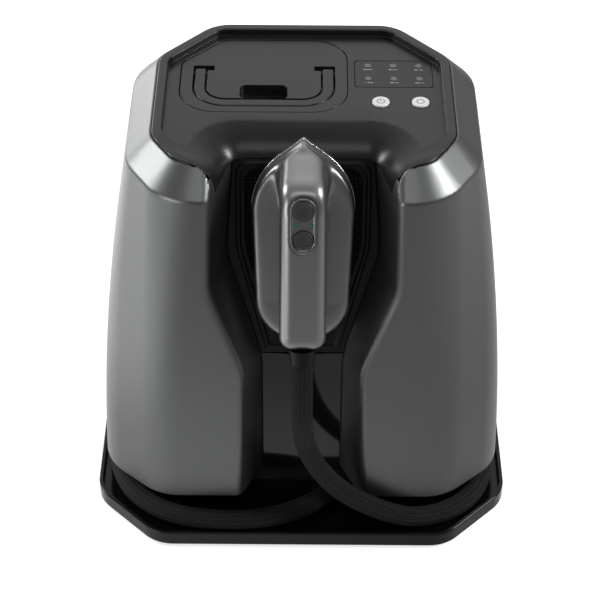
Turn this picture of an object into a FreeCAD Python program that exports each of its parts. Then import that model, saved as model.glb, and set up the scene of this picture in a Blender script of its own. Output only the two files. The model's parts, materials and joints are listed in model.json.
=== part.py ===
import FreeCAD, Part
import math
import os
import re
import Sketcher
from FreeCAD import Placement, Rotation, Vector

# Steam ironing station: an eight-sided tower on a tray, with a lift-out water tank,
# a docked steam handset and a hose wrapped once round the foot.
# Frame: X to the right, Y to the back, Z up, origin under the middle of the tray. Millimetres.

SIZES = {
    # Tray and feet
    "foot_height": 3,
    "foot_radius": 10,
    "foot_inset": 62,
    "tray_width": 330,
    "tray_depth": 307,
    "tray_chamfer": 50,
    "tray_corner_radius": 32,
    "tray_height": 12,
    "tray_floor": 5,
    "tray_rim": 3,
    "tray_edge_radius": 1.2,
    # Plinth that lifts the tower clear of the hose
    "plinth_half_width": 136,
    "plinth_front": 86,
    "plinth_back": 118,
    "plinth_chamfer": 40,
    "plinth_height": 24,
    "plinth_wall": 3,
    "chassis_thickness": 4,
    # Outer form of the tower, at four levels
    "shell_wall": 3,
    "bottom_half_width": 159,
    "bottom_front": 128,
    "bottom_back": 128,
    "bottom_chamfer_across": 46,
    "bottom_chamfer_along": 40,
    "bottom_corner_radius": 44,
    "middle_height": 138,
    "middle_half_width": 151,
    "middle_front": 121.5,
    "middle_back": 124,
    "middle_chamfer_across": 42,
    "middle_chamfer_along": 46,
    "crease_height": 279,
    "shoulder_rise": 18.5,
    "shoulder_run": 18.5,
    "seam_half_width": 113,
    "seam_front": 93,
    "seam_back": 97.5,
    "seam_front_across": 22.5,
    "seam_front_along": 37,
    "seam_back_across": 43,
    "seam_back_along": 48,
    "seam_corner_radius": 28,
    "seam_land": 1.2,
    "seam_gap": 0.5,
    "half_gap": 0.2,
    "mouth_radius": 7,
    "mouth_top_radius": 13,
    "crease_radius": 6,
    # Recess between the two wings: outlines on a front and a rear plane
    "recess_front": 128,
    "recess_rear": 50,
    "recess_reach_front": 152,
    "recess_reach_rear": 35,
    "recess_front_half": 72,
    "recess_front_shoulder": 230,
    "recess_front_waist_half": 48,
    "recess_front_waist": 160,
    "recess_rear_half": 53.5,
    "recess_rear_shoulder": 235,
    "recess_rear_waist_half": 11,
    "recess_rear_waist": 143,
    "recess_bend": 55,
    "panel_gap": 0.4,
    "panel_thickness": 3,
    # Dock: its foot, its lean and its furniture
    "dock_foot": 93,
    "dock_floor": 154,
    "dock_lean": 16,
    "dock_length": 158,
    "lip_width": 3,
    "lip_height": 1.4,
    "lip_half_top": 50,
    "lip_half_low": 28,
    "lip_low": 4,
    "lip_shoulder": 88,
    "lip_inset": 2.5,
    "lip_corner_radius": 10,
    "ledge_half_width": 12,
    "ledge_reach": 11,
    "ledge_thickness": 5,
    "pad_thickness": 1.5,
    "pad_margin": 6,
    "seat_clearance": 0.3,
    # Deck and its scoop
    "deck_skirt": 13,
    "rim_rise": 1.5,
    "rim_width": 9,
    "panel_drop": 6,
    "deck_thickness": 3.5,
    "deck_wall": 3.5,
    "deck_front_margin": 31,
    "deck_front_chamfer": 16,
    "deck_inner_radius": 15,
    "deck_edge_radius": 1.2,
    "scoop_front": 120,
    "scoop_waist": 70,
    "scoop_wall": 3,
    "scoop_low_radius": 12,
    "scoop_neck_rise": 9,
    "scoop_neck_half": 64,
    "scoop_neck_seam_half": 65,
    "scoop_neck_back": 43,
    "scoop_neck_radius": 20,
    "scoop_brow_rise": 18.4,
    "scoop_brow_half": 83,
    "scoop_brow_seam_half": 70,
    "scoop_brow_back": 28,
    "scoop_brow_radius": 36,
    "scoop_top_half": 112,
    "scoop_top_seam_half": 80,
    "scoop_top_back": 10,
    "scoop_top_radius": 54,
    # Water tank, its lid and its folding handle
    "lid_left": 94,
    "lid_right": 33,
    "lid_front": 17,
    "lid_back": 82,
    "lid_corner_radius": 28,
    "lid_chamfer": 32,
    "lid_gap": 0.5,
    "lid_thickness": 14,
    "lid_edge_radius": 0.7,
    "tank_inset": 4,
    "tank_wall": 2.5,
    "tank_bottom": 100,
    "well_gap": 1.5,
    "well_wall": 2,
    "well_floor": 3,
    "well_drop": 8,
    "handle_half_span": 53,
    "handle_front": 8.5,
    "handle_width": 8.5,
    "handle_thickness": 8,
    "handle_corner_radius": 24,
    "handle_edge_radius": 1.2,
    "handle_gap": 1.2,
    "pivot_back": 40,
    "pin_radius": 1.6,
    "pin_clearance": 0.05,
    "pin_bite": 3,
    "pin_seat_clearance": 0.02,
    "notch_size": 5,
    "finger_half_width": 18,
    "finger_reach": 19,
    "finger_depth": 10,
    "valve_radius": 8,
    "valve_height": 4,
    "valve_flange": 3,
    "drain_radius": 3,
    "seat_radius": 13,
    "seal_wire": 1.2,
    # Display, keys and control board
    "display_left": 38.5,
    "display_right": 98,
    "display_front": 17,
    "display_back": 53.5,
    "display_thickness": 1.6,
    "display_gap": 0.15,
    "display_corner_radius": 2.5,
    "lens_radius": 2.6,
    "lens_pitch_across": 19.5,
    "lens_pitch_along": 18,
    "lens_proud": 0.15,
    "lens_gap": 0.1,
    "lens_shift": 2.7,
    "key_radius": 6.6,
    "key_gap": 0.25,
    "key_proud": 1.2,
    "key_travel": 1.2,
    "key_stem_radius": 3,
    "power_key_across": 57.5,
    "mode_key_across": 87.2,
    "key_along": 3.4,
    "board_thickness": 1.6,
    "board_drop": 8,
    "board_margin": 4,
    "switch_size": 6,
    "switch_height": 3,
    "switch_gap": 0.4,
    "post_radius": 2.5,
    # Steam works inside
    "boiler_radius": 34,
    "boiler_height": 140,
    "boiler_dome": 14,
    "boiler_across": 92,
    "boiler_along": 32,
    "stand_height": 30,
    "stand_wall": 3,
    "stand_gap": 0.2,
    "boiler_lift": 10,
    "boss_radius": 6,
    "boss_length": 6,
    "spigot_radius": 4,
    "spigot_length": 8,
    "tube_wall": 1,
    "pump_lift": 15,
    "coil_radius": 9,
    "coil_height": 20,
    "relief_radius": 6,
    "relief_height": 22,
    "thermostat_radius": 5,
    "thermostat_height": 6,
    "pump_radius": 16,
    "pump_length": 56,
    "steam_tube_radius": 5,
    "water_tube_radius": 3.5,
    "valve_body": 24,
    # Hose, its gland and its collar
    "hose_diameter": 16,
    "hose_level": 17,
    "gland_radius": 11.5,
    "gland_heading": 54,
    "gland_spigot_radius": 6,
    "gland_spigot_gap": 0.2,
    "gland_spigot_length": 14,
    "gland_riser_top": 42,
    "gland_riser_radius": 5,
    "collar_radius": 10.5,
    "collar_tip_radius": 9,
    "collar_length": 12,
    "hose_lead": 38,
    # Steam handset, in the dock's own plane
    "iron_half_width": 39.3,
    "iron_tip": 176,
    "iron_shoulder": 146.5,
    "iron_end": 17,
    "iron_end_half": 34.7,
    "iron_tip_radius": 2.5,
    "iron_shoulder_radius": 52,
    "iron_end_radius": 34,
    "sole_thickness": 4,
    "sole_inset": 2,
    "sole_hole_radius": 1.6,
    "sole_hole_pitch": 15,
    "sole_hole_inset": 10,
    "insulator_thickness": 2.5,
    "insulator_inset": 1,
    "head_height": 13,
    "head_waist": 5,
    "head_waist_inset": 0.7,
    "head_brow": 10,
    "head_brow_inset": 2.8,
    "head_top_inset": 8.5,
    "grip_half_width": 17.2,
    "grip_end": 30,
    "grip_front": 160,
    "grip_foot": 169,
    "grip_height": 66,
    "grip_thickness": 22,
    "grip_neck_back": 124,
    "grip_neck_top": 116,
    "grip_edge_radius": 9.5,
    "grip_end_radius": 10,
    "grip_nose_radius": 18,
    "grip_throat_radius": 12,
    "bezel_half_width": 9.4,
    "bezel_front": 152,
    "bezel_back": 110,
    "bezel_thickness": 1.5,
    "bezel_proud": 0.3,
    "steam_button_radius": 7.5,
    "steam_button_place": 142.5,
    "lock_button_radius": 6.9,
    "lock_button_place": 120.5,
    "button_gap": 0.3,
    "button_proud": 1.6,
    "button_depth": 4,
    "button_travel": 1.2,
    "button_well": 7,
    "light_radius": 1.5,
    "light_place": 131.5,
    "light_half_pitch": 6,
    "light_proud": 0.2,
    # Rear cover, inlet bush and screws
    "rear_half_width": 80,
    "rear_low": 44,
    "rear_high": 292,
    "rear_gap": 0.4,
    "vent_width": 70,
    "vent_height": 4,
    "vent_pitch": 9,
    "vent_low": 190,
    "inlet_radius": 9,
    "inlet_flange": 13,
    "inlet_bore": 3.8,
    "inlet_level": 70,
    "inlet_across": 45,
    "screw_radius": 2,
    "screw_head_radius": 4,
    "screw_head_height": 2.4,
    "screw_length": 16,
    "screw_gap": 0.1,
    "tray_screw_across": 100,
    "tray_screw_along": 66,
}
VENT_COUNT = 8
SOLE_HOLES = 6

# The hose's route, chosen by hand: it hangs from the handset's collar, turns on the tray
# and runs once round the foot. The collar's end, a straight lead out of it and the gland's
# mouth, at the two ends of the route, are worked out further down.
HOSE_HANG = [
    (-1.5, -147.5, 111),
    (1.5, -138.5, 84),
    (9.5, -131.5, 60),
    (24, -129.5, 37.5),
    (45, -131.5, 20.5),
]
HOSE_WRAP = [
    (70, -131.8),
    (96, -135.3),
    (123.2, -126.1),
    (143, -104),
    (149.3, -75),
    (151.4, -38),
    (151.9, 6),
    (151.2, 48),
    (149.3, 77),
    (143, 106),
    (123.2, 128.1),
    (95, 137.5),
    (52, 139.3),
    (0, 139.8),
    (-52, 139.3),
    (-95, 137.5),
    (-123.2, 128.1),
    (-143, 106),
    (-149.3, 77),
    (-151.2, 46),
    (-151.9, 0),
    (-151.4, -40),
    (-150, -76),
    (-138, -107.5),
    (-112.5, -130.5),
    (-79, -140.3),
    (-36, -140.8),
    (-4, -130),
    (20, -112),
]
HOSE_GLAND = (31.8, -95.8)

os.makedirs("parts", exist_ok=True)
doc = FreeCAD.newDocument("steam_ironing_station")
sheet = doc.addObject("Spreadsheet::Sheet", "Sizes")
for row, (alias, number) in enumerate(SIZES.items(), start=1):
    sheet.set(f"A{row}", alias)
    sheet.set(f"B{row}", str(number))
    sheet.setAlias(f"B{row}", alias)
doc.recompute()

NODES = []


def linked(text):
    # Names of sizes become references to the sheet's cells.
    def reference(match):
        word = match.group(0)
        return f"Sizes.{word}" if word in SIZES else word
    return re.sub(r"[a-z][a-z_0-9]*", reference, str(text))


def value(text):
    number = sheet.evalExpression(linked(text))
    return float(getattr(number, "Value", number))


def neg(text):
    return f"-({text})"


def node(obj, name):
    obj.Label = name
    NODES.append(obj)
    return obj


# Levels, from the floor up
TRAY_TOP = "foot_height + tray_height"
FLOOR_TOP = "foot_height + tray_floor"
SHELL_BOTTOM = "foot_height + tray_floor + plinth_height"
CHASSIS_TOP = f"{SHELL_BOTTOM} + chassis_thickness"
MIDDLE = f"{SHELL_BOTTOM} + middle_height"
CREASE = f"{SHELL_BOTTOM} + crease_height"
SEAM = f"{CREASE} + shoulder_rise"
RIM_TOP = f"{SEAM} + rim_rise"
DECK_TOP = f"{RIM_TOP} - panel_drop"
DECK_UNDER = f"{DECK_TOP} - deck_thickness"
LID_UNDER = f"{DECK_TOP} - lid_thickness"
WELL_TOP = f"{LID_UNDER} - seat_clearance"
WELL_FLOOR = "tank_bottom - well_drop"
BOARD_TOP = f"{DECK_UNDER} - board_drop"


def draw_outline(sketch, corners):
    # The sharp outline is drawn as construction lines tied to the sheet,
    # then lines and tangent arcs follow it.
    points = [Vector(value(x), value(y), 0) for x, y, radius in corners]
    count = len(points)
    guides = []
    for i, point in enumerate(points):
        guides.append(sketch.addGeometry(Part.LineSegment(point, points[(i + 1) % count]), True))
    for i, (x, y, radius) in enumerate(corners):
        sketch.addConstraint(Sketcher.Constraint("Coincident", guides[i - 1], 2, guides[i], 1))
        for kind, text, number in (("DistanceX", x, points[i].x), ("DistanceY", y, points[i].y)):
            dimension = sketch.addConstraint(Sketcher.Constraint(kind, -1, 1, guides[i], 1, number))
            sketch.setExpression(f"Constraints[{dimension}]", linked(text))
    starts = []
    ends = []
    turns = []
    for i, (x, y, radius) in enumerate(corners):
        before = (points[i] - points[i - 1]).normalize()
        after = (points[(i + 1) % count] - points[i]).normalize()
        turn = math.atan2(before.x * after.y - before.y * after.x, before.dot(after))
        setback = value(radius) * math.tan(abs(turn) / 2) if radius else 0
        starts.append(points[i] - before * setback)
        ends.append(points[i] + after * setback)
        turns.append(turn)
    lines = []
    for i in range(count):
        line = sketch.addGeometry(Part.LineSegment(ends[i], starts[(i + 1) % count]), False)
        for place, corner in ((1, i), (2, (i + 1) % count)):
            if corners[corner][2]:
                sketch.addConstraint(Sketcher.Constraint("PointOnObject", line, place, guides[i]))
            else:
                sketch.addConstraint(Sketcher.Constraint("Coincident", line, place, guides[corner], 1))
        lines.append(line)
    for i, (x, y, radius) in enumerate(corners):
        if not radius:
            continue
        size = value(radius)
        left = turns[i] > 0
        before = (points[i] - points[i - 1]).normalize()
        inward = Vector(-before.y, before.x, 0) if left else Vector(before.y, -before.x, 0)
        centre = starts[i] + inward * size
        first, last = (starts[i], ends[i]) if left else (ends[i], starts[i])
        from_angle = math.atan2(first.y - centre.y, first.x - centre.x)
        to_angle = math.atan2(last.y - centre.y, last.x - centre.x)
        circle = Part.Circle(centre, Vector(0, 0, 1), size)
        arc = sketch.addGeometry(Part.ArcOfCircle(circle, from_angle, to_angle), False)
        into, out = (1, 2) if left else (2, 1)
        sketch.addConstraint(Sketcher.Constraint("Tangent", lines[i - 1], 2, arc, into))
        sketch.addConstraint(Sketcher.Constraint("Tangent", arc, out, lines[i], 1))
        dimension = sketch.addConstraint(Sketcher.Constraint("Radius", arc, size))
        sketch.setExpression(f"Constraints[{dimension}]", linked(radius))


def draw_circle(sketch, x, y, radius):
    centre = Vector(value(x), value(y), 0)
    circle = sketch.addGeometry(Part.Circle(centre, Vector(0, 0, 1), value(radius)), False)
    for kind, text, number in (("DistanceX", x, centre.x), ("DistanceY", y, centre.y)):
        dimension = sketch.addConstraint(Sketcher.Constraint(kind, -1, 1, circle, 3, number))
        sketch.setExpression(f"Constraints[{dimension}]", linked(text))
    dimension = sketch.addConstraint(Sketcher.Constraint("Radius", circle, value(radius)))
    sketch.setExpression(f"Constraints[{dimension}]", linked(radius))


def draw(sketch, loops):
    # A loop is a list of corners (x, y, radius), or one round (x, y, radius) tuple.
    for loop in loops:
        if isinstance(loop, tuple):
            draw_circle(sketch, *loop)
        else:
            draw_outline(sketch, loop)
    sketch.recompute()


def new_body(name, placement=None):
    body = doc.addObject("PartDesign::Body", name)
    if placement:
        body.Placement = placement
    return body


def body_sketch(body, plane, offset, loops):
    sketch = body.newObject("Sketcher::SketchObject", f"{body.Name}_outline")
    origin = [f for f in body.Origin.OriginFeatures if f.Role == f"{plane}_Plane"][0]
    sketch.AttachmentSupport = (origin, [""])
    sketch.MapMode = "FlatFace"
    sketch.setExpression("AttachmentOffset.Base.z", linked(offset))
    draw(sketch, loops)
    return sketch


def pad(body, plane, offset, length, loops):
    feature = body.newObject("PartDesign::Pad", f"{body.Name}_pad")
    feature.Profile = body_sketch(body, plane, offset, loops)
    feature.setExpression("Length", linked(length))
    doc.recompute()
    return feature


def pocket(body, plane, offset, depth, loops):
    # Cuts against the sketch plane's normal, and says so if nothing was cut.
    before = body.Shape.Volume
    feature = body.newObject("PartDesign::Pocket", f"{body.Name}_pocket")
    feature.Profile = body_sketch(body, plane, offset, loops)
    feature.setExpression("Length", linked(depth))
    doc.recompute()
    if body.Shape.Volume > before - 0.01:
        raise RuntimeError(f"a pocket in {body.Label} cut nothing")
    return feature


def fillet(body, radius, chosen):
    # Rounds the edges of the body's tip that the test picks.
    base = body.Tip
    names = [f"Edge{i}" for i, edge in enumerate(base.Shape.Edges, start=1) if chosen(edge)]
    feature = body.newObject("PartDesign::Fillet", f"{body.Name}_fillet")
    feature.Base = (base, names)
    feature.setExpression("Radius", linked(radius))
    doc.recompute()
    return feature


def free_sketch(name, loops, level="0", upright=False):
    # Flat at a height, or upright facing the front at a depth.
    sketch = doc.addObject("Sketcher::SketchObject", name)
    if upright:
        sketch.Placement = Placement(Vector(), Rotation(Vector(1, 0, 0), 90))
        sketch.setExpression("Placement.Base.y", linked(level))
    else:
        sketch.setExpression("Placement.Base.z", linked(level))
    draw(sketch, loops)
    return sketch


def prism(name, loops, low, high):
    block = doc.addObject("Part::Extrusion", name)
    block.Base = free_sketch(f"{name}_outline", loops, low)
    block.DirMode = "Custom"
    block.Dir = Vector(0, 0, 1)
    block.setExpression("LengthFwd", linked(f"({high}) - ({low})"))
    block.Solid = True
    return block


def loft(name, sketches, ruled):
    form = doc.addObject("Part::Loft", name)
    form.Sections = sketches
    form.Solid = True
    form.Ruled = ruled
    return form


def box(name, low, high):
    block = doc.addObject("Part::Box", name)
    for prop, axis, first, last in zip(("Length", "Width", "Height"), "xyz", low, high):
        block.setExpression(prop, linked(f"({last}) - ({first})"))
        block.setExpression(f"Placement.Base.{axis}", linked(first))
    return block


def cylinder(name, radius, low, height, x="0", y="0"):
    rod = doc.addObject("Part::Cylinder", name)
    rod.setExpression("Radius", linked(radius))
    rod.setExpression("Height", linked(height))
    for axis, text in zip("xyz", (x, y, low)):
        rod.setExpression(f"Placement.Base.{axis}", linked(text))
    return rod


def cut(name, base, tool):
    result = doc.addObject("Part::Cut", name)
    result.Base = base
    result.Tool = tool
    return result


def fuse(name, shapes):
    result = doc.addObject("Part::MultiFuse", name)
    result.Shapes = shapes
    return result


def common(name, shapes):
    result = doc.addObject("Part::MultiCommon", name)
    result.Shapes = shapes
    return result


def group(name, shapes):
    result = doc.addObject("Part::Compound", name)
    result.Links = shapes
    return node(result, name)


def both_sides(right):
    # An outline that is the same left and right, from its right half listed from front to back.
    return right + [(neg(x), y, radius) for x, y, radius in reversed(right)]


def octagon(half, front, back, front_cut, back_cut, radius, grow="0"):
    # A box in plan with cut corners. A cut is how far it goes across and along,
    # and grow offsets the whole outline.
    def offset(cut_corner):
        across, along = cut_corner
        spare = f"(({grow}) * ({across} + {along} - sqrt(({across}) ^ 2 + ({along}) ^ 2)))"
        return f"({across} + {spare} / ({along}))", f"({along} + {spare} / ({across}))"
    front_across, front_along = offset(front_cut)
    back_across, back_along = offset(back_cut)
    wide = f"({half} + {grow})"
    near = f"-({front} + {grow})"
    far = f"({back} + {grow})"
    rounding = f"{radius} + {grow}"
    return both_sides([
        (f"{wide} - {front_across}", near, rounding),
        (wide, f"{near} + {front_along}", rounding),
        (wide, f"{far} - {back_along}", rounding),
        (f"{wide} - {back_across}", far, rounding),
    ])


def tray_outline(grow="0"):
    corner = ("tray_chamfer", "tray_chamfer")
    return octagon(
        "tray_width / 2", "tray_depth / 2", "tray_depth / 2",
        corner, corner, "tray_corner_radius", grow,
    )


def plinth_outline(grow="0"):
    corner = ("plinth_chamfer", "plinth_chamfer")
    return octagon(
        "plinth_half_width", "plinth_front", "plinth_back",
        corner, corner, "tray_corner_radius", grow,
    )


def bottom_outline(grow="0"):
    corner = ("bottom_chamfer_across", "bottom_chamfer_along")
    return octagon(
        "bottom_half_width", "bottom_front", "bottom_back",
        corner, corner, "bottom_corner_radius", grow,
    )


def middle_outline(grow="0"):
    corner = ("middle_chamfer_across", "middle_chamfer_along")
    return octagon(
        "middle_half_width", "middle_front", "middle_back",
        corner, corner, "bottom_corner_radius", grow,
    )


def seam_outline(grow="0"):
    front = ("seam_front_across", "seam_front_along")
    back = ("seam_back_across", "seam_back_along")
    return octagon("seam_half_width", "seam_front", "seam_back", front, back, "seam_corner_radius", grow)


def tower_form(name, grow, low):
    # The convex lower wall and the straight shoulder above the crease.
    lower = loft(f"{name}_wall", [
        free_sketch(f"{name}_bottom", [bottom_outline(grow)], low),
        free_sketch(f"{name}_middle", [middle_outline(grow)], MIDDLE),
        free_sketch(f"{name}_crease", [seam_outline(f"(shoulder_run + {grow})")], CREASE),
    ], False)
    upper = loft(f"{name}_shoulder", [
        free_sketch(f"{name}_crease_again", [seam_outline(f"(shoulder_run + {grow})")], CREASE),
        free_sketch(f"{name}_seam", [seam_outline(grow)], SEAM),
    ], True)
    return fuse(name, [lower, upper])


def recess_at(front, rear, reach):
    # A size of the recess at a depth, on the straight line through its front and rear values.
    return f"({front} + ({rear} - {front}) * (recess_front - ({reach})) / (recess_front - recess_rear))"


def recess_waist_half(reach):
    return recess_at("recess_front_waist_half", "recess_rear_waist_half", reach)


def recess_form(name, grow):
    # The front opening tapers towards the back and draws in below the handset.
    def outline(reach):
        wide = recess_at("recess_front_half", "recess_rear_half", reach) + f" + {grow}"
        narrow = recess_waist_half(reach) + f" + {grow}"
        shoulder = recess_at("recess_front_shoulder", "recess_rear_shoulder", reach)
        waist = recess_at("recess_front_waist", "recess_rear_waist", reach)
        return both_sides([
            (narrow, f"{SHELL_BOTTOM} - plinth_height / 2", None),
            (narrow, waist, "recess_bend"),
            (wide, shoulder, "recess_bend"),
            (wide, f"{RIM_TOP} + rim_width", None),
        ])
    return loft(name, [
        free_sketch(f"{name}_front", [outline("recess_reach_front")], "-recess_reach_front", True),
        free_sketch(f"{name}_rear", [outline("recess_reach_rear")], "-recess_reach_rear", True),
    ], True)


# The dock's plane leans back from its foot: x stays, y runs up the dock and z stands out from it.
DOCK = Placement(
    Vector(0, -value("dock_foot"), value("dock_floor")),
    Rotation(Vector(1, 0, 0), 90 - value("dock_lean")),
)
DOCK_TOP = "(dock_floor + dock_length * cos(dock_lean * 1 deg))"
DOCK_TOP_BACK = "(dock_foot - dock_length * sin(dock_lean * 1 deg))"


def scoop_form(name, grow):
    # A funnel that flares from the recess at the top of the dock up to the deck, open to the front.
    def recess_half(reach):
        return recess_at("recess_front_half", "recess_rear_half", reach)

    def outline(seam_half, waist_half, back_half, back, radius):
        return both_sides([
            (recess_half("scoop_front") + f" + {grow}", "-scoop_front", None),
            (f"{seam_half} + {grow}", "-seam_front", None),
            (f"{waist_half} + {grow}", "-scoop_waist", None),
            (f"{back_half} + {grow}", f"-{back} + {grow}", f"{radius} + {grow}"),
        ])
    low_halves = [recess_half(reach) for reach in ("seam_front", "scoop_waist", DOCK_TOP_BACK)]
    low = outline(*low_halves, DOCK_TOP_BACK, "scoop_low_radius")
    sections = [free_sketch(f"{name}_low", [low], DOCK_TOP)]
    levels = {
        "neck": f"{DOCK_TOP} + scoop_neck_rise",
        "brow": f"{DOCK_TOP} + scoop_brow_rise",
        "top": f"{RIM_TOP} + rim_rise",
    }
    for part, level in levels.items():
        sizes = [f"scoop_{part}_{size}" for size in ("seam_half", "half", "half", "back", "radius")]
        sections.append(free_sketch(f"{name}_{part}", [outline(*sizes)], level))
    return loft(name, sections, False)


def lid_outline(grow="0"):
    back = f"lid_back + {grow}"
    left = f"-(lid_left + {grow})"
    corner = f"lid_corner_radius + {grow}"
    slant = f"lid_chamfer - ({grow}) * (2 - sqrt(2))"
    return [
        (left, f"-(lid_front + {grow})", corner),
        (f"lid_right + {grow}", f"-(lid_front + {grow})", corner),
        (f"lid_right + {grow}", back, corner),
        (f"{left} + {slant}", back, f"lid_corner_radius / 2 + {grow}"),
        (left, f"{back} - ({slant})", f"lid_corner_radius / 2 + {grow}"),
    ]


def rectangle(left, front, right, back, radius=None):
    return [(left, front, radius), (right, front, radius), (right, back, radius), (left, back, radius)]


def corners_of(across, along, radius):
    return [(x, y, radius) for x in (across, neg(across)) for y in (along, neg(along))]


# Base tray: a shallow eight-sided dish with counterbored screw holes
tray = node(new_body("base_tray"), "base_tray")
pad(tray, "XY", "foot_height", "tray_height", [tray_outline()])
fillet(tray, "tray_edge_radius", lambda edge: edge.BoundBox.ZMin > value(TRAY_TOP) - 0.01)
pocket(tray, "XY", TRAY_TOP, "tray_height - tray_floor", [tray_outline("-tray_rim")])
pocket(tray, "XY", FLOOR_TOP, "tray_floor",
       corners_of("tray_screw_across", "tray_screw_along", "screw_radius + screw_gap"))
pocket(tray, "XY", "foot_height + screw_head_height + screw_gap", "screw_head_height + screw_gap",
       corners_of("tray_screw_across", "tray_screw_along", "screw_head_radius + screw_gap"))

# Rubber feet under the tray
feet = []
for x in ("tray_width / 2 - foot_inset", "-(tray_width / 2 - foot_inset)"):
    for y in ("tray_depth / 2 - foot_inset / 2", "-(tray_depth / 2 - foot_inset / 2)"):
        foot = doc.addObject("Part::Cone", "foot")
        foot.setExpression("Radius1", linked("foot_radius - foot_height / 3"))
        foot.setExpression("Radius2", linked("foot_radius"))
        foot.setExpression("Height", linked("foot_height"))
        foot.setExpression("Placement.Base.x", linked(x))
        foot.setExpression("Placement.Base.y", linked(y))
        feet.append(foot)
group("rubber_feet", feet)

# Base chassis: the plinth's skirt, and the plate that the shells sit round
chassis = new_body("chassis_blank")
pad(chassis, "XY", FLOOR_TOP, "plinth_height", [plinth_outline()])
pocket(chassis, "XY", SHELL_BOTTOM, "plinth_height", [plinth_outline("-plinth_wall")])
plate_grow = "-(shell_wall + panel_gap)"
pad(chassis, "XY", SHELL_BOTTOM, "chassis_thickness", [bottom_outline(f"({plate_grow})")])
notch_back = "dock_foot - panel_thickness"
notch_grow = "shell_wall + panel_gap"
pocket(chassis, "XY", CHASSIS_TOP, "chassis_thickness", [both_sides([
    (f"{recess_waist_half('recess_reach_front')} + {notch_grow}", "-recess_reach_front", None),
    (f"{recess_waist_half(notch_back)} + {notch_grow}", f"-({notch_back})", None),
])])
for x in ("tray_screw_across", "-tray_screw_across"):
    for y in ("tray_screw_along", "-tray_screw_along"):
        pad(chassis, "XY", FLOOR_TOP, "plinth_height",
            [(x, y, "2 * screw_head_radius"), (x, y, "screw_radius + screw_gap")])

# Outer and inner forms of the tower, and the recess in its front
ABOVE = f"{RIM_TOP} + rim_width"
tower = tower_form("tower", "0", SHELL_BOTTOM)
hollow = tower_form("hollow", "-shell_wall", f"{SHELL_BOTTOM} - shell_wall")
recess = recess_form("recess", "0")
recess_outside = recess_form("recess_outside", "shell_wall")
recess_inside = recess_form("recess_inside", "-panel_gap")
scoop = scoop_form("scoop", "0")
scoop_outside = scoop_form("scoop_outside", "scoop_wall")
scoop_clear = scoop_form("scoop_clear", "(scoop_wall + seam_gap)")

# Everything in front of the rear faces of the dock panel and the lower panel
rear_lean = "panel_thickness / cos(dock_lean * 1 deg)"
ahead = doc.addObject("Part::Extrusion", "ahead")
ahead_profile = doc.addObject("Sketcher::SketchObject", "ahead_profile")
ahead_profile.Placement = Placement(Vector(), Rotation(Vector(1, 1, 1), 120))
draw(ahead_profile, [[
    ("-recess_reach_front", f"{SHELL_BOTTOM} - plinth_height", None),
    ("-dock_foot + panel_thickness", f"{SHELL_BOTTOM} - plinth_height", None),
    ("-dock_foot + panel_thickness", "dock_floor", None),
    (f"-{DOCK_TOP_BACK} + {rear_lean}", DOCK_TOP, None),
    (f"-{DOCK_TOP_BACK} + {rear_lean}", ABOVE, None),
    ("-recess_reach_front", ABOVE, None),
]])
ahead.Base = ahead_profile
ahead.DirMode = "Custom"
ahead.Dir = Vector(1, 0, 0)
ahead.setExpression("LengthFwd", linked("bottom_half_width"))
ahead.setExpression("LengthRev", linked("bottom_half_width"))
ahead.Solid = True

# Side shells: the tower with its recess, rounded along the recess's mouth and the crease, then
# hollowed all but the recess's side walls, and cut for the deck, the scoop and the rear cover
outer_sharp = cut("outer_sharp", tower, recess)
doc.recompute()
crease_level = value(CREASE)
mouth_back = -value("seam_front")


def edge_rounding(edge):
    # The radii at the two ends of an edge on the outside of the tower, or nothing where it stays sharp.
    bounds = edge.BoundBox
    if bounds.ZLength < 0.01:
        at_crease = abs(bounds.ZMin - crease_level) < 0.01
        return [value("crease_radius")] * 2 if at_crease else None
    middle = edge.valueAt((edge.FirstParameter + edge.LastParameter) / 2)
    at_mouth = abs(middle.x) < value("recess_front_half") and middle.y < mouth_back
    if not at_mouth or bounds.YMax > mouth_back + 0.01:
        return None
    ends = [edge.valueAt(end) for end in (edge.FirstParameter, edge.LastParameter)]
    above = [end.z > crease_level + 0.01 for end in ends]
    return [value("mouth_top_radius") if high else value("mouth_radius") for high in above]


outer = doc.addObject("Part::Fillet", "outer")
outer.Base = outer_sharp
rounded_edges = []
for number, edge in enumerate(outer_sharp.Shape.Edges, start=1):
    radii = edge_rounding(edge)
    if radii:
        rounded_edges.append((number, *radii))
outer.Edges = rounded_edges
recess_walls = common("recess_walls", [recess_outside, ahead])
shell_blank = cut("shell_blank", outer, cut("shell_inside", hollow, recess_walls))
deck_hole = prism("deck_hole", [seam_outline("-seam_land")], f"{SEAM} - deck_skirt - seam_gap", ABOVE)
scoop_front_clear = common("scoop_front_clear", [
    scoop_clear,
    box("behind_seam", ("-seam_half_width", "-seam_front", DOCK_TOP + " - seam_gap"),
        ("seam_half_width", "0", ABOVE)),
])
rear_hole = box("rear_hole", ("-rear_half_width", "0", "rear_low"),
                ("rear_half_width", "tray_depth", "rear_high"))
shell_tools = fuse("shell_tools", [deck_hole, scoop, scoop_front_clear, rear_hole])
left_half = box("left_half", ("-tray_width", "-tray_depth", "0"), ("-half_gap", "tray_depth", ABOVE))
shell_cut = cut("shell_cut", shell_blank, shell_tools)
left_shell = node(common("left_side_shell", [shell_cut, left_half]), "left_side_shell")
right_shell = doc.addObject("Part::Mirroring", "right_side_shell")
right_shell.Source = left_shell
right_shell.Normal = Vector(1, 0, 0)
node(right_shell, "right_side_shell")

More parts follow.
